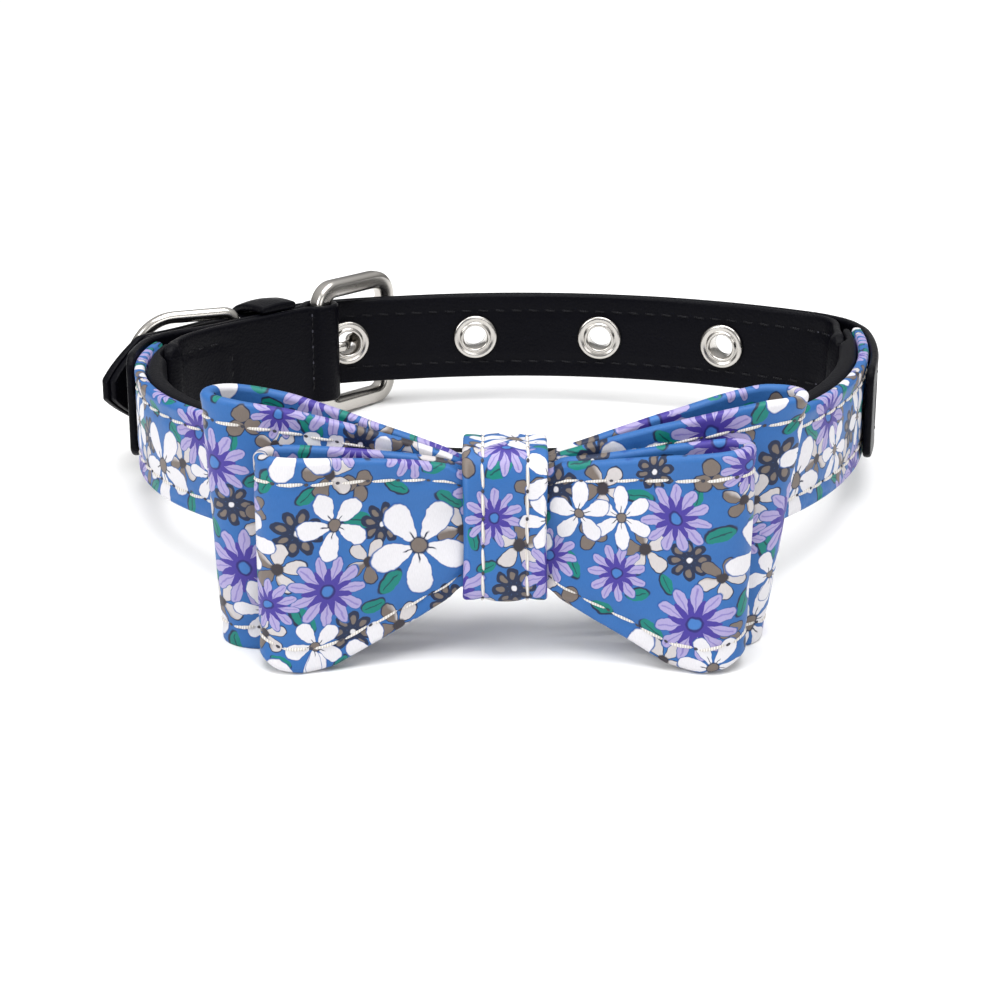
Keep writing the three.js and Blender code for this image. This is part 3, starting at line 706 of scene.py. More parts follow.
# %% [markdown]
# ### Giving a piece its finish, and sewing it
# Each finished piece is told which body it rides on, which node it stands for and which
# finish it takes. A sewn seam is a row of stitches and a row of small dark spots, painted shade
# in the needle holes, both laid with the strip's own rule. A seam that crosses the strip is
# made along it and then turned.

# %% Finishing and sewing
def finish_piece(obj, material, nodes, body="collar"):
    obj.data.materials.clear()
    obj.data.materials.append(material)
    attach(obj, body)
    if nodes:
        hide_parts(*nodes)
    print(obj.name, len(obj.data.polygons), "faces")


# how much deeper than the thread the painted hole shade spots sit
HOLE_DEPTH = 0.1


def sew(name, seams, out, place, material, slot, squash=1.0, upright=None, **stitch):
    # the second row is of dark spots, painted shade in the needle holes
    for kind, hole in [("stitches", False), ("needle_holes", True)]:
        depth = out - (HOLE_DEPTH if hole else 0) * np.sign(out)
        rows = [stitch_row(start, length, across, depth, hole=hole, **stitch)
                for start, length, across in seams]
        seam = join_as(name + "_" + kind, rows)
        points = read_points(seam)
        if upright is not None:
            points = np.stack([points[:, 1] + upright, points[:, 0], points[:, 2]], -1)
        points[:, 1] *= squash
        write_points(seam, points)
        lay_down(seam, place)
        finish_piece(seam, needle_hole_shade if hole else material, [])


# %% [markdown]
# ## The front band
# The cover is one strip of printed cloth with its long edges turned in, sewn 3 mm from each
# edge. The seams pull it down a little and it puckers at every stitch. Behind it lies the
# black padded lining, thick with round edges, and thinned at its ends to go into the forks.

# %% Band cover
BAND_FROM, BAND_TO = 243 - LOOP_LENGTH, 103
band_line = strap_line([(BAND_FROM, 0), (BAND_TO, 0)])
COVER_WIDTH, COVER_THICK, COVER_OUT = 16.0, 1.6, 0.95
SEAM, PITCH = 5.2, 4.1


def pucker(flat, seams, pitch, depth, ripple, reach=0.9):
    """Seams that pull the outer face down, a little more at every stitch."""
    flat = flat.copy()
    for seam in seams:
        near = np.exp(-((flat[:, 1] - seam) / reach) ** 2)
        beat = np.cos(flat[:, 0] / pitch * 2 * math.pi)
        flat[:, 2] -= np.where(flat[:, 2] > 0, near * (depth + ripple * beat), 0)
    return flat


cover = flat_strip("band_cover_cloth", band_line["length"], COVER_WIDTH, COVER_THICK, 0.6, 0.74, 4)
measure_print(cover, along=7.0, across=9.0, width=COVER_WIDTH, thick=COVER_THICK)
puckered = pucker(read_points(cover), [SEAM, -SEAM], PITCH, depth=0.32, ripple=0.1)
write_points(cover, puckered + [0, 0, COVER_OUT])
lay_down(cover, lay_along(band_line))
finish_piece(cover, floral_print, ["band_cover"])

# %% [markdown]
# The lining starts as a thick strip with round edges. Its ends are pressed thin over a few
# millimetres so that they enter the forks, and its inner face is crowned by the padding.

# %% Padded lining
PAD_WIDTH, PAD_THICK, THIN_END = 15.6, 2.7, 1.28
THIN_FOR, SWELLS_OVER = 6.3, 4.2
PAD_FACE, CROWN = -0.15, 0.12
lining = flat_strip("band_lining_pad", band_line["length"], PAD_WIDTH, PAD_THICK, 0.9, 1.25, 5)
points = read_points(lining)
inset = np.minimum(points[:, 0], band_line["length"] - points[:, 0])
full = np.clip((inset - THIN_FOR) / SWELLS_OVER, 0, 1)
full = full * full * (3 - 2 * full)
thick = THIN_END + (PAD_THICK - THIN_END) * full
depth = (points[:, 2] - PAD_THICK / 2) * thick / PAD_THICK
crown = CROWN * np.cos(points[:, 1] / PAD_WIDTH * math.pi) * full * (points[:, 2] < 0)
points[:, 2] = PAD_FACE + depth - crown
write_points(lining, points)
lay_down(lining, lay_along(band_line))
finish_piece(lining, black_lining, ["band_lining"])

sew("band", [(3, band_line["length"] - 6, across) for across in (SEAM, -SEAM)], 1.5,
    lay_along(band_line), cream_thread, "floral_print")

# %% [markdown]
# ## The long strap
# Two plies of leatherette, back to back, with four holes and a blunt point. At the right the
# plies open into a fork that holds the band. At the left the strap goes out through the
# buckle, over the D-ring's tab and through the ring, and its tip stands off the collar.

# %% Pressed seams and turned ends
LIP_HALF, LIP_RISE = 2.5, 1.45


def groove(flat, low, high, half, depth=0.3, reach=0.45, corner=2.6):
    """How deep a seam line pressed as a rounded box is at each point."""
    qx = np.abs(flat[:, 0] - (low + high) / 2) - (high - low) / 2 + corner
    qy = np.abs(flat[:, 1]) - half + corner
    outside = np.hypot(np.maximum(qx, 0), np.maximum(qy, 0))
    away = outside + np.minimum(np.maximum(qx, qy), 0) - corner
    return depth * np.exp(-(away / reach) ** 2)


def rolled_lip(flat, middle, tall):
    """The rounded lip where a ply's end is turned back on itself."""
    across = np.clip((flat[:, 0] - middle) / LIP_HALF, -1, 1)
    ends = np.sqrt(np.clip(1 - (np.abs(flat[:, 1]) / tall) ** 5, 0, 1))
    return LIP_RISE * ends * np.cos(across * math.pi / 2) ** 1.2


def round_corners(points, at, half, radius=2.6):
    left = np.clip(np.abs(points[:, 0] - at), 0, radius)
    cut = radius - np.sqrt(radius ** 2 - (radius - left) ** 2)
    points[:, 1] *= (half - cut) / half


print("a turned end stands", LIP_RISE, "mm proud")

# %% [markdown]
# The tables give station and distance out from the loop. Each ply lies half its thickness to
# its own side of the strap's middle, and both share the free end.

# %% The two plies
STRAP_WIDTH, STRAP_HALF, PLY_THICK, PLY_OUT = 15.0, 7.5, 1.3, 0.66
OUTER_PLY = [(77, 2.75), (90, 2.75), (104, 2.7), (113, 0.7), (124, PLY_OUT), (181, PLY_OUT)]
INNER_PLY = [(97, -2.15), (104, -2.1), (112, -0.7), (124, -PLY_OUT), (181, -PLY_OUT)]
FREE_END = [(184, 0), (192, 0), (197, 0.8), (200.6, 2.3), (204.4, 4.3), (208.2, 5.1), (212, 5.1),
            (217, 5.5), (221, 6.3), (224.6, 6.8), (229, 6.5), (233, 6.0), (236.6, 5.8), (240, 6.4),
            (243.5, 7.8), (245.7, 9.0)]
HOLE_STATIONS = [200.6 - 22.6 * i for i in range(4)]
HOLE_RADIUS = 2.75
SEAM_START, SEAM_HALF = 5.6, 4.65
STITCH_OUT = 0.46
STRAP_STITCH = {"pitch": 3.0, "thread": 0.24, "run": 0.9}
TIP_WIDTH, TIP_TAPER, TIP_LENGTH = 1.3, 6.2, 8.5


def ply_line(start, out):
    return strap_line(start + [(s, n + out) for s, n in FREE_END], reach=10)


def trim_tip(points, length):
    left = np.clip(length - points[:, 0], 0, None)
    limit = np.minimum(STRAP_HALF, TIP_WIDTH + TIP_TAPER * (left / TIP_LENGTH) ** 0.8)
    points[:, 1] *= np.minimum(1, limit / STRAP_HALF)


middle_line = ply_line(OUTER_PLY[:1] + [(113, 0), (181, 0)], 0)
plies = []
for name, rows, side in [("outer", OUTER_PLY, 1), ("inner", INNER_PLY, -1)]:
    line = ply_line(rows, side * PLY_OUT)
    length = line["length"]
    ply = flat_strip("strap_ply_" + name, length, STRAP_WIDTH, PLY_THICK, 0.8, 0.5, 3)
    points = read_points(ply)
    trim_tip(points, length)
    round_corners(points, 0, STRAP_HALF)
    write_points(ply, points)
    punch(ply, [round_cutter(station_along(line, s), HOLE_RADIUS) for s in HOLE_STATIONS])
    points = read_points(ply)
    dip = groove(points, SEAM_START, length - 6, SEAM_HALF)
    dip += groove(points, SEAM_START - 0.2, SEAM_START + 13, SEAM_HALF + 0.2, depth=0.12)
    lip = rolled_lip(points, LIP_HALF, STRAP_HALF) if name == "inner" else 0.0
    points[:, 2] += side * np.where(points[:, 2] * side > 0, lip - dip, 0)
    write_points(ply, points)
    lay_down(ply, lay_along(line))
    plies.append(ply)
    seams = [(SEAM_START + 2, length - SEAM_START - 9, side_of * SEAM_HALF) for side_of in (1, -1)]
    sew("strap_" + name, seams, side * STITCH_OUT, lay_along(line), black_thread,
        "black_leather", **STRAP_STITCH)
    sew("strap_end_" + name, [(-3.2, 6.4, 0)], side * STITCH_OUT, lay_along(line), black_thread,
        "black_leather", upright=SEAM_START, **STRAP_STITCH)

long_strap = join_as("eyelet_strap_leather", plies)
finish_piece(long_strap, black_leather, ["eyelet_strap"])

# %% [markdown]
# ## The short strap
# One strip, folded round the buckle's bar: out from the fork's outer end, back to the bar,
# round it, and down the inside to the fork's inner end. It is drawn as one line and laid in
# one piece. A slot in the fold lets the prong through.

# %% The short strap's line
BAR_STATION, FOLD_RADIUS = 208.2, 2.65
bar = beside_loop(BAR_STATION, 0)


def fold_points(start, stop, count):
    sweep = np.radians(np.linspace(start, stop, count)) + loop_heading(BAR_STATION)
    return bar + FOLD_RADIUS * np.stack([np.cos(sweep), np.sin(sweep)], -1)


SHORT_OUTER = [(211, 0.68), (232, PLY_OUT), (242, 2.7), (249, 2.75), (255, 2.7)]
SHORT_INNER = [(211, -0.68), (233, -PLY_OUT), (242, -2.1), (249, -2.15)]
outer_run = np.arange(255, 211.3, -0.25)
inner_run = np.arange(211.6, 249, 0.25)
outer_out, inner_out = [soften(np.interp(run, *np.transpose(rows)), 12) for run, rows in
                        ((outer_run, SHORT_OUTER), (inner_run, SHORT_INNER))]
around = np.concatenate([beside_loop(outer_run, outer_out), fold_points(-38, -322, 90),
                         beside_loop(inner_run, inner_out)])
around = np.stack([soften(around[:, 0], 4), soften(around[:, 1], 4)], -1)
gaps = np.linalg.norm(np.diff(around, axis=0), axis=1)
around = around[np.concatenate([[True], gaps > 1e-4])]
short_line = measured(around)
short_line["facing"] *= -1
fold_at = float(short_line["along"][len(outer_run) + 45])
print("fold at", round(fold_at, 1), "of", round(short_line["length"], 1), "mm")

# %% [markdown]
# The leather is pressed close behind the bar, which leaves a tube round it. A second pressed
# box of seam near the inner end closes the pocket that holds the band.

# %% Short strap
SHORT_WIDTH, SHORT_HALF, SHORT_SEAM = 17.0, 8.5, 5.6
TUBE, POCKET = 7.3, 19.0
CREASE, CREASE_REACH = 0.45, 0.4
length = short_line["length"]
pocket_at, pocket_end = length - POCKET, length - SEAM_START


def lay_folded(flat):
    return lay_along(short_line)(flat * [1, -1, 1])


short = flat_strip("buckle_strap_leather", length, SHORT_WIDTH, PLY_THICK, 0.8, 0.5, 3)
punch(short, [box_cutter((fold_at - 5.4, -1.6, -3), (fold_at + 1.8, 1.6, 3))])
flat = read_points(short)
dip = groove(flat, pocket_at, pocket_end, SHORT_SEAM)
dip += groove(flat, 4.0, fold_at - TUBE - 3, SHORT_SEAM)
for at in (fold_at - TUBE, fold_at + TUBE):
    dip += CREASE * np.exp(-((flat[:, 0] - at) / CREASE_REACH) ** 2)
lip = rolled_lip(flat, length - LIP_HALF, SHORT_HALF)
flat[:, 2] += np.where(flat[:, 2] > 0, lip - dip, 0)
round_corners(flat, 0, SHORT_HALF, 3.2)
round_corners(flat, length, SHORT_HALF)
write_points(short, flat)
lay_down(short, lay_folded)
finish_piece(short, black_leather, ["buckle_strap"])

SHORT_STITCH = {"pitch": 2.8, "thread": 0.22, "run": 0.9}
seams = [(start, run, across) for start, run in
         [(6, fold_at - TUBE - 11), (pocket_at + 2, pocket_end - pocket_at - 4)]
         for across in (SHORT_SEAM, -SHORT_SEAM)]
sew("short_strap", seams, STITCH_OUT, lay_folded, black_thread, "black_leather", **SHORT_STITCH)
for name, at, tall in [("pocket", pocket_at, 4.5), ("pocket_end", pocket_end, 4.5),
                       ("fold_inner", fold_at + TUBE, 7.6), ("fold_outer", fold_at - TUBE, 7.6)]:
    sew("short_strap_" + name, [(-tall, 2 * tall, 0)], 0.36, lay_folded, black_thread,
        "black_leather", upright=at, **SHORT_STITCH)

# %% [markdown]
# ## Eyelets
# An eyelet is pressed from sheet metal: a barrel with a rolled rim on each face. Its section
# is spun once round its axis and the ring is copied to each hole of the strap.

# %% Eyelets
EYELET_FACE = 1.6
BARREL = [(2.43, -EYELET_FACE), (2.45, EYELET_FACE)]
ROLL = [(3.9, 0.0), (3.88, 0.18), (3.72, 0.36), (3.45, 0.45), (3.15, 0.4), (2.92, 0.26),
        (2.8, 0.24), (2.7, 0.36), (2.55, 0.54), (2.35, 0.58), (2.15, 0.46), (2.06, 0.22)]


def spun_ring(name, section, steps=56):
    nothing_selected()
    bpy.ops.mesh.primitive_circle_add(vertices=len(section), radius=1)
    ring = bpy.context.object
    ring.name = name
    write_points(ring, [(x, 0, z) for x, z in section])
    bpy.ops.object.mode_set(mode="EDIT")
    bpy.ops.mesh.select_all(action="SELECT")
    bpy.ops.mesh.spin(steps=steps, angle=2 * math.pi, center=(0, 0, 0), axis=(0, 0, 1))
    bpy.ops.object.mode_set(mode="OBJECT")
    face_outwards(ring, merge=0.001)
    return ring


def eyelet_seat(station, index):
    """How an eyelet is turned and where it sits; the first is in the rising free end."""
    if index == 0:
        at_x, at_y, *facing = follow(middle_line, station_along(middle_line, station))
    else:
        at_x, at_y = beside_loop(station, 0)
        heading = loop_heading(station)
        facing = [math.sin(heading), -math.cos(heading)]
    z = Vector((*facing, 0)).normalized()
    y = Vector((0, 0, 1))
    return np.array(Matrix([y.cross(z), y, z]).transposed()), np.array([at_x, at_y, 0.0])


upper = [(r, EYELET_FACE + rise) for r, rise in ROLL]
pattern = spun_ring("eyelet_pattern", BARREL + upper + [(r, -z) for r, z in reversed(upper)])
for index, station in enumerate(HOLE_STATIONS):
    eyelet = pattern.copy()
    eyelet.data = pattern.data.copy()
    eyelet.name = f"eyelet_{index + 1}_ring"
    bpy.context.collection.objects.link(eyelet)
    turn, at = eyelet_seat(station, index)
    write_points(eyelet, standing(read_points(pattern) @ turn.T + at))
    only(eyelet)
    bpy.ops.object.shade_smooth()
    finish_piece(eyelet, nickel, [f"eyelet_{index + 1}"])
bpy.data.objects.remove(pattern)

# %% [markdown]
# ## Buckle and prong
# The frame is cast: a rounded square ring with softened flat faces. A plane is cut to the
# outline, its corners rounded and its middle inset away, and Solidify and Bevel make the
# bar's section. The prong is drawn wire: hooked over the bar, out through the eyelet, and
# resting on the far member.

# %% Buckle frame
FAR_STATION = 193.4
FRAME_HEIGHT, FRAME_WIRE, FRAME_CORNER = 24.0, 3.0, 4.6
far_member = beside_loop(FAR_STATION, PLY_THICK + 0.3 + FRAME_WIRE / 2 + 0.4)
buckle_vector = far_member - bar
BUCKLE_SPAN = float(np.linalg.norm(buckle_vector))


def in_buckle(flat):
    """From along the frame, up and out of it to the level collar."""
    u, z, v = flat.T
    c, s = buckle_vector / BUCKLE_SPAN
    return np.stack([bar[0] + u * c - v * s, bar[1] + u * s + v * c, z], -1)


nothing_selected()
bpy.ops.mesh.primitive_plane_add(size=1)
buckle = bpy.context.object
buckle.name = "buckle_frame_cast"
resize_and_move((BUCKLE_SPAN + FRAME_WIRE, FRAME_HEIGHT, 1), (BUCKLE_SPAN / 2, 0, 0))
bpy.ops.object.mode_set(mode="EDIT")
bpy.ops.mesh.select_all(action="SELECT")
bpy.ops.mesh.bevel(offset=FRAME_CORNER, segments=12, affect="VERTICES")
bpy.ops.mesh.select_all(action="SELECT")
bpy.ops.mesh.inset(thickness=FRAME_WIRE)
bpy.ops.mesh.delete(type="FACE")
bpy.ops.object.mode_set(mode="OBJECT")
thicken(buckle, FRAME_WIRE, 0.95, 5, 50)
write_points(buckle, standing(in_buckle(read_points(buckle) * [1, 1, -1])))
face_outwards(buckle)
bpy.ops.object.shade_smooth_by_angle(angle=math.radians(35))
finish_piece(buckle, nickel, ["buckle_frame"])
print("buckle span", round(BUCKLE_SPAN, 1), "mm")

# %% [markdown]
# Drawn wire is a curve with a round bevel, made a mesh. The prong's path is a hook over the
# bar and then a shaft, smoothed as one line, and the wire is pressed a little flat.

# %% Prong
def wire(name, path, radius, closed=False):
    nothing_selected()
    bpy.ops.curve.primitive_bezier_curve_add()
    curve = bpy.context.object
    curve.data.splines.clear()
    spline = curve.data.splines.new("POLY")
    spline.points.add(len(path) - 1)
    for point, place in zip(spline.points, path):
        point.co = (*place, 1)
    spline.use_cyclic_u = closed
    curve.data.bevel_depth = radius
    curve.data.bevel_resolution = 6
    curve.data.use_fill_caps = not closed
    only(curve)
    bpy.ops.object.convert(target="MESH")
    made = bpy.context.object
    made.name = name
    made.data.name = name
    return made


def smooth_path(rows, count):
    rows = np.array(rows, float)
    gaps = np.linalg.norm(np.diff(rows, axis=0), axis=1)
    steps = np.concatenate([[0], np.cumsum(gaps)])
    fine = np.linspace(0, steps[-1], count)
    reach = max(2, count // 22)
    return np.stack([soften(np.interp(fine, steps, column), reach) for column in rows.T], -1)


def arc(middle, wide, tall, start, stop, step):
    """Points on an ellipse; the angles are in degrees, and stop is left out."""
    angles = [math.radians(a) for a in range(start, stop, step)]
    return [(middle[0] + wide * math.cos(a), middle[1] + tall * math.sin(a)) for a in angles]


HOOK_RADIUS, PRONG_RADIUS, PRONG_FLATTEN = 2.55, 0.6, 1.5
rest = FRAME_WIRE / 2 + 0.3 + PRONG_RADIUS + 0.25
hook = arc((0, 0), HOOK_RADIUS, HOOK_RADIUS, 160, -10, -10)
shaft = [(4.4, -1.2), (6.2, -0.5), (7.75, 1.1), (9.5, 2.5), (12.2, rest), (BUCKLE_SPAN + 1.1, rest)]
prong_path = smooth_path(hook + shaft, 90)
prong = wire("buckle_prong_wire", [(u, 0, v) for u, v in prong_path], PRONG_RADIUS)
write_points(prong, standing(in_buckle(read_points(prong) * [1, PRONG_FLATTEN, 1])))
face_outwards(prong, merge=1e-6)
bpy.ops.object.shade_smooth_by_angle(angle=math.radians(50))
finish_piece(prong, nickel, ["buckle_prong"])

# %% [markdown]
# The D-ring is one closed wire: a straight bar that turns in its tab, and a bow. It rides on
# its own body, because it swings on the bar.

# %% D-ring
RING_WIRE, RING_HALF, RING_REACH, RING_SWEEP = 1.05, 10.2, 20.5, 24
half, straight, tip, corner = RING_HALF - RING_WIRE, 10.5, RING_REACH - 2 * RING_WIRE, 2
ring_heading = loop_heading(RING_STATION) - math.radians(RING_SWEEP)
ring_at = beside_loop(RING_STATION, RING_OUT)
d_path = [(0, -half + corner), (0, half - corner)]
d_path += arc((corner, half - corner), corner, corner, 180, 89, -15)
d_path += arc((straight, 0), tip - straight, half, 90, -91, -6)
d_path += arc((corner, corner - half), corner, corner, -90, -181, -15)
d_path = [p for i, p in enumerate(d_path) if i == 0 or math.dist(p, d_path[i - 1]) > 0.05]
d_path = d_path[:-1] if math.dist(d_path[-1], d_path[0]) < 0.05 else d_path
d_ring = wire("d_ring_wire", [(x, z, 0) for x, z in d_path], RING_WIRE, closed=True)
reach, tall, out = read_points(d_ring).T
c, s = math.cos(ring_heading), math.sin(ring_heading)
level = [ring_at[0] + reach * c - out * s, ring_at[1] + reach * s + out * c, tall]
write_points(d_ring, standing(np.stack(level, -1)))
face_outwards(d_ring)
bpy.ops.object.shade_smooth()
finish_piece(d_ring, nickel, ["d_ring"], body="ring")

# %% [markdown]
# ## Keeper and D-ring tab
# Both are short strips of the strap's leather bent round something: the keeper goes round
# the free end, and the tab makes a bridge over the ring's bar. Each has its own line to lie
# on, so the strip tools make them too.

# %% Keeper
KEEPER_MIDDLE, KEEPER_WIDTH, KEEPER_CROWN = 217.55, 7.5, 0.35
KEEPER_TOP = [(-0.6, 9.15), (1.5, 9.3), (4.0, 9.2), (6.0, 8.8), (7.6, 8.0), (8.5, 6.6), (8.75, 4.5)]
keeper_rows = KEEPER_TOP + [(8.8, 0)] + [(n, -z) for n, z in reversed(KEEPER_TOP)]
keeper_line = measured(smooth_path(keeper_rows, 160))


def lay_keeper(flat):
    n, z, fn, fz = follow(keeper_line, flat[:, 0])
    plan = beside_loop(KEEPER_MIDDLE + flat[:, 1], n - flat[:, 2] * fn)
    return np.stack([plan[:, 0], plan[:, 1], z - flat[:, 2] * fz], -1)


keeper = flat_strip("keeper_leather", keeper_line["length"], KEEPER_WIDTH, 1.2, 0.6, 0.45, 3)
points = read_points(keeper)
crown = KEEPER_CROWN * np.cos(points[:, 1] / KEEPER_WIDTH * math.pi)
points[:, 2] += np.where(points[:, 2] > 0, crown, 0)
write_points(keeper, points)
lay_down(keeper, lay_keeper)
face_outwards(keeper)
finish_piece(keeper, black_leather, ["keeper"])

# %% [markdown]
# The tab's line runs flat along the strap, over the ring's bar as a bridge, and flat again.

# %% D-ring tab
TAB_SIDE = [(-5.2, 1.97), (-3.1, 2.0), (-2.35, 2.4), (-1.75, 3.7), (-0.9, 4.42)]
tab_rows = TAB_SIDE + [(0, 4.55)] + [(-s, n) for s, n in reversed(TAB_SIDE)]
tab_line = measured(smooth_path(tab_rows, 120))


def lay_tab(flat):
    s, n, fs, fn = follow(tab_line, flat[:, 0])
    plan = beside_loop(RING_STATION + s - flat[:, 2] * fs, n - flat[:, 2] * fn)
    return np.stack([plan[:, 0], plan[:, 1], flat[:, 1]], -1)


tab = flat_strip("d_ring_tab_leather", tab_line["length"], 12.0, 0.7, 0.5, 0.28, 2)
lay_down(tab, lay_tab)
face_outwards(tab)
finish_piece(tab, black_leather, ["d_ring_tab"])

# %% [markdown]
# ## The bow
# Each loop is one long strip of the printed cloth, closed into a band and pinched at its
# middle by the knot. Seen from above it is a flat loop with round ends; from the front it
# flares from the knot to its corners. So its plan and its top and bottom edges are given as
# short tables, and a flat strip is laid on them. Pleats fan out from the knot and die away,
# the ends keep their spring, and a seam runs 3 mm inside each edge.

# %% Bow tables
WALL = 1.8
BACK_PLAN = [  # x, front face, back face
    (5.9, -1.35, 2.3), (12, -1.6, 2.7), (20, -2.2, 4.1), (28, -2.8, 6.2), (33, -3.1, 7.5),
    (37.5, -3.0, 7.3), (40, -2.0, 5.6), (41.2, -0.2, 3.9), (41.6, 1.8, 1.9)]
FRONT_PLAN = [
    (5.9, -5.4, -1.75), (12, -6.5, -2.05), (20, -9.0, -2.65), (25.5, -11.1, -3.2),
    (29.5, -11.7, -3.5), (32, -11.0, -3.8), (33.1, -9.4, -5.2), (33.5, -7.4, -7.3)]
BACK_EDGES = [  # x, top, bottom
    (-42, 16.9, -16.8), (-40.6, 17.7, -18.2), (-37, 17.3, -18.3), (-29, 15.8, -17.3),
    (-20.7, 13.7, -14.9), (-12.4, 11.1, -11.8), (-7.4, 9.3, -9.2), (-6.1, 8.5, -8.3),
    (6.1, 8.5, -8.3), (7.4, 9.3, -9.2), (12.4, 10.9, -11.8), (20.7, 13.5, -14.9),
    (29, 15.6, -17.2), (35, 17.0, -18.0), (40.6, 17.4, -17.9), (42, 16.6, -16.8)]
FRONT_EDGES = [
    (-34, 10.6, -13.6), (-32.8, 11.6, -16.0), (-30.2, 11.7, -17.8), (-27, 11.5, -18.3),
    (-23, 11.2, -17.7), (-17.6, 10.7, -15.0), (-12, 10.0, -12.3), (-7.4, 9.2, -9.6),
    (-6.1, 8.2, -8.0), (6.1, 8.2, -8.0), (7.4, 9.2, -9.6), (12, 9.8, -12.3),
    (17.6, 10.7, -15.0), (22, 11.5, -17.4), (26.8, 12.2, -18.3), (30, 12.6, -17.6),
    (32.6, 12.7, -15.8), (34, 11.8, -13.2)]


def loop_outline(plan):
    right_back = [(x, back) for x, front, back in plan[:-1]]
    right_front = [(x, front) for x, front, back in plan]
    half = [(0.0, plan[0][2])] + right_back + list(reversed(right_front)) + [(0.0, plan[0][1])]
    whole = [(-x, y) for x, y in half] + [(x, y) for x, y in reversed(half)][1:]
    line = measured(smooth_path(whole, 900))
    return measured(line["points"] - line["facing"] * WALL / 2)


def edge_heights(edges, x):
    rows = np.array(edges)
    fine = np.linspace(rows[0, 0], rows[-1, 0], 400)
    top = soften(np.interp(fine, rows[:, 0], rows[:, 1]), 5)
    bottom = soften(np.interp(fine, rows[:, 0], rows[:, 2]), 5)
    return np.interp(x, fine, top), np.interp(x, fine, bottom)


print("bow widths:", 2 * BACK_PLAN[-1][0], 2 * FRONT_PLAN[-1][0], "mm")

# %% [markdown]
# The cloth is not a smooth sheet: pleats fan out from the knot and die away within a few
# millimetres, and soft hollows stay where a hand has pressed the loop. No point goes below
# the surface that the collar stands on.

# %% How a loop's cloth lies
KNOT_EDGE = 5.0
FLOOR_Z = -float(SHIFT[2]) / MM + 0.02


def pleats(x, z):
    away = np.clip(np.abs(x) - KNOT_EDGE, 0, None)
    begin = np.clip(away / 1.2, 0, 1)
    fan = z / (8.5 + away * 0.32)
    wide = 0.55 * np.cos(fan * 5.2 + np.sign(x) * 0.9) - 0.1
    fine = 0.16 * np.sin(fan * 12 + np.sign(x) * 2.0)
    return begin * (np.exp(-away / 9.0) * wide + np.exp(-away / 5.0) * fine)


def slack(x, z):
    """Soft hollows that a hand leaves in a sewn loop, fading at the knot."""
    far = np.clip((np.abs(x) - 8) / 10, 0, 1)
    wave = np.sin(x * 0.31 + z * 0.22 + 0.6) + 0.7 * np.sin(z * 0.47 - x * 0.17 + 2.0)
    return 0.17 * far * wave


def lay_loop(line, edges, left, right):
    """A strip of height one on a loop; left and right draw its lower corners in."""
    def place(flat):
        x, y, fx, fy = follow(line, flat[:, 0])
        top, bottom = edge_heights(edges, x)
        z = bottom + (flat[:, 1] + 0.5) * (top - bottom)
        wide = x + fx * flat[:, 2]
        deep = y + fy * flat[:, 2] + pleats(x, z) + slack(x, z)
        wide *= 1 - (18 - z) / 36 * np.where(wide < 0, left, right)
        floor = (FLOOR_Z + deep * math.sin(LEAN)) / math.cos(LEAN)
        return np.stack([wide, deep, np.maximum(z, floor)], -1)
    return place


print("the level drawing stands at", round(FLOOR_Z, 2), "mm")

# %% [markdown]
# The strip is made at its real height so that its edges round correctly, and its height is
# divided out again before it is laid. Its print is measured where it lies, so flowers keep
# their shape right up to the knot. Under the knot the print steps on, as gathered cloth does.

# %% Bow loops
HALF_STEP = np.array([8.0, 17.0])
SEAM_INSET = 3.2


def make_loop(node, plan, edges, left, right, height, along, across):
    line = loop_outline(plan)
    place = lay_loop(line, edges, left, right)
    seams = [height / 2 - SEAM_INSET, -height / 2 + SEAM_INSET]
    strip = flat_strip(node + "_cloth", line["length"], height, WALL, 0.75, 0.8, 4)
    flat = pucker(read_points(strip), seams, PITCH, depth=0.26, ripple=0.09)
    flat[:, 1] /= height
    level = place(flat)
    write_points(strip, np.stack([flat[:, 0], level[:, 2], flat[:, 2]], -1))
    measure_print(strip, along=along, across=across, width=90, thick=WALL,
                  step=HALF_STEP * np.clip(level[:, 0] / 3, 0, 1)[:, None])
    write_points(strip, flat)
    lay_down(strip, place)
    finish_piece(strip, floral_print, [node])
    sew(node, [(0, line["length"], seam) for seam in seams], 0.7, place, cream_thread,
        "floral_print", squash=1 / height)
    return strip, line


bow_back, line = make_loop("bow_back_loop", BACK_PLAN, BACK_EDGES, 0.045, 0.13, 34.0, 3.0, 20.0)
bow_front, line = make_loop("bow_front_loop", FRONT_PLAN, FRONT_EDGES, 0.0, 0.02, 28.0, 21.0, 8.0)

# %% [markdown]
# ## The knot
# A short strip goes once round the bow and the band and is sewn behind. Its two long edges
# are turned in and sewn, and the cloth swells a little between the seams.

# %% Knot
KNOT_ROWS = [(9.0, 0), (9.0, 4), (8.9, 7.2), (8.4, 8.6), (7.3, 9.2), (2, 9.6), (-4.5, 10.3),
             (-5.9, 9.8), (-6.55, 8.4), (-6.6, 4), (-6.6, -4), (-6.55, -7.6), (-5.9, -9.1),
             (-4.7, -9.5), (7.3, -9.3), (8.4, -8.8), (8.9, -7.5), (9.0, -4), (9.0, -0.02)]
KNOT_WIDTH, KNOT_THICK, KNOT_FRONT = 11.4, 1.4, -6.6
KNOT_SEAM, KNOT_PITCH, KNOT_SWELL, WAIST = 3.0, 3.8, 0.22, 0.035
knot_line = measured(smooth_path(KNOT_ROWS, 260))


def lay_knot(flat):
    y, z, fy, fz = follow(knot_line, flat[:, 0])
    front = np.exp(-((y - KNOT_FRONT) / 2.0) ** 2)
    waist = 1 - WAIST * front * np.cos(z / 10 * math.pi / 2)
    return np.stack([flat[:, 1] * waist, y + flat[:, 2] * fy, z + flat[:, 2] * fz], -1)


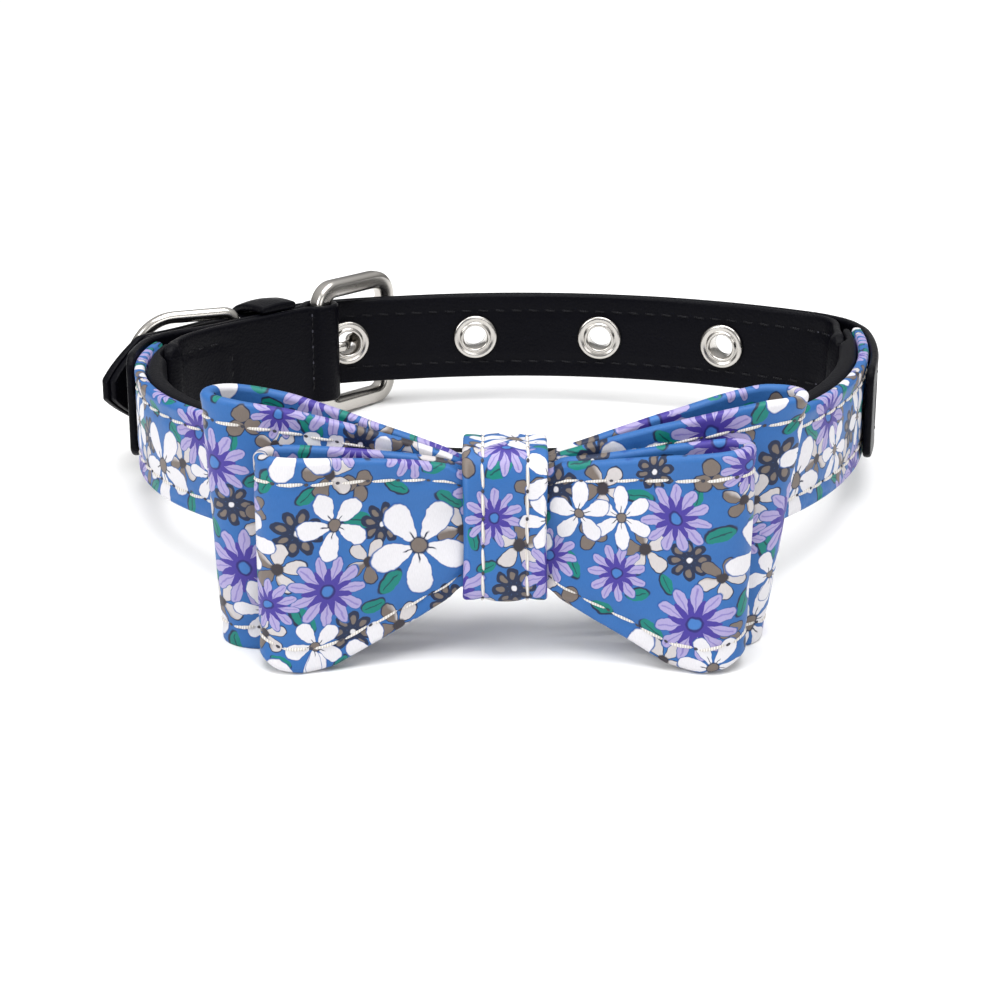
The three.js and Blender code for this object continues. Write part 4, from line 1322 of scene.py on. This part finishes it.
knot = flat_strip("bow_knot_cloth", knot_line["length"], KNOT_WIDTH, KNOT_THICK, 0.5, 0.64, 4)
measure_print(knot, along=10.6, across=21.4, width=KNOT_WIDTH, thick=KNOT_THICK)
flat = pucker(read_points(knot), [KNOT_SEAM, -KNOT_SEAM], KNOT_PITCH, depth=0.2, ripple=0.07)
swell = KNOT_SWELL * np.cos(np.clip(flat[:, 1] / KNOT_SEAM, -1, 1) * math.pi / 2)
flat[:, 2] += np.where(flat[:, 2] > 0, swell, 0)
write_points(knot, flat)
lay_down(knot, lay_knot)
face_outwards(knot)
finish_piece(knot, floral_print, ["bow_knot"])
sew("knot", [(2, knot_line["length"] - 4, across) for across in (KNOT_SEAM, -KNOT_SEAM)], 0.6,
    lay_knot, cream_thread, "floral_print", pitch=KNOT_PITCH)

# %% [markdown]
# ## Floor and light
# A pale plain floor runs out of sight. Light comes from a large soft panel above and in
# front, a second from the left, and a bright even sky, so that black leather keeps its form
# and nickel has something to mirror.

# %% Studio
nothing_selected()
bpy.ops.mesh.primitive_plane_add(size=12, location=(0, 0, 0))
floor = bpy.context.object
floor.name = "studio_floor"
pale, finish = new_material("floor_pale", Roughness=0.9, Base_Color=(0.93, 0.93, 0.93, 1))
floor.data.materials.append(pale)

world = bpy.data.worlds.new("studio_sky")
bpy.context.scene.world = world
world.use_nodes = True
sky = Finish(world.node_tree)
toward = sky.node("TexCoord").outputs["Generated"]
height = sky.node("SeparateXYZ", {0: toward}).outputs[2]
rise = sky.node("MapRange", {0: height, 1: 0.0, 2: 0.8, 3: 0.14, 4: 0.8}).outputs[0]
background = world.node_tree.nodes["Background"]
background.inputs[0].default_value = (1, 1, 1, 1)
sky.tree.links.new(rise, background.inputs[1])


def soft_panel(name, place, aim, size, power):
    bpy.ops.object.light_add(type="AREA", location=place)
    lamp = bpy.context.object
    lamp.name = name
    lamp.data.shape = "RECTANGLE"
    lamp.data.size, lamp.data.size_y = size
    lamp.data.energy = power
    lamp.rotation_euler = (Vector(aim) - Vector(place)).to_track_quat("-Z", "Y").to_euler()


soft_panel("panel_above", (0.05, -0.05, 0.75), (0, 0, 0), (0.7, 0.7), 6.5)
soft_panel("panel_left", (-0.6, -0.45, 0.45), (0, 0, 0.02), (0.35, 0.5), 2.6)
soft_panel("panel_front", (0.35, -0.8, 0.35), (0, 0, 0.02), (0.5, 0.35), 1.3)
bpy.context.scene.view_settings.view_transform = "Standard"
bpy.context.scene.view_settings.look = "None"
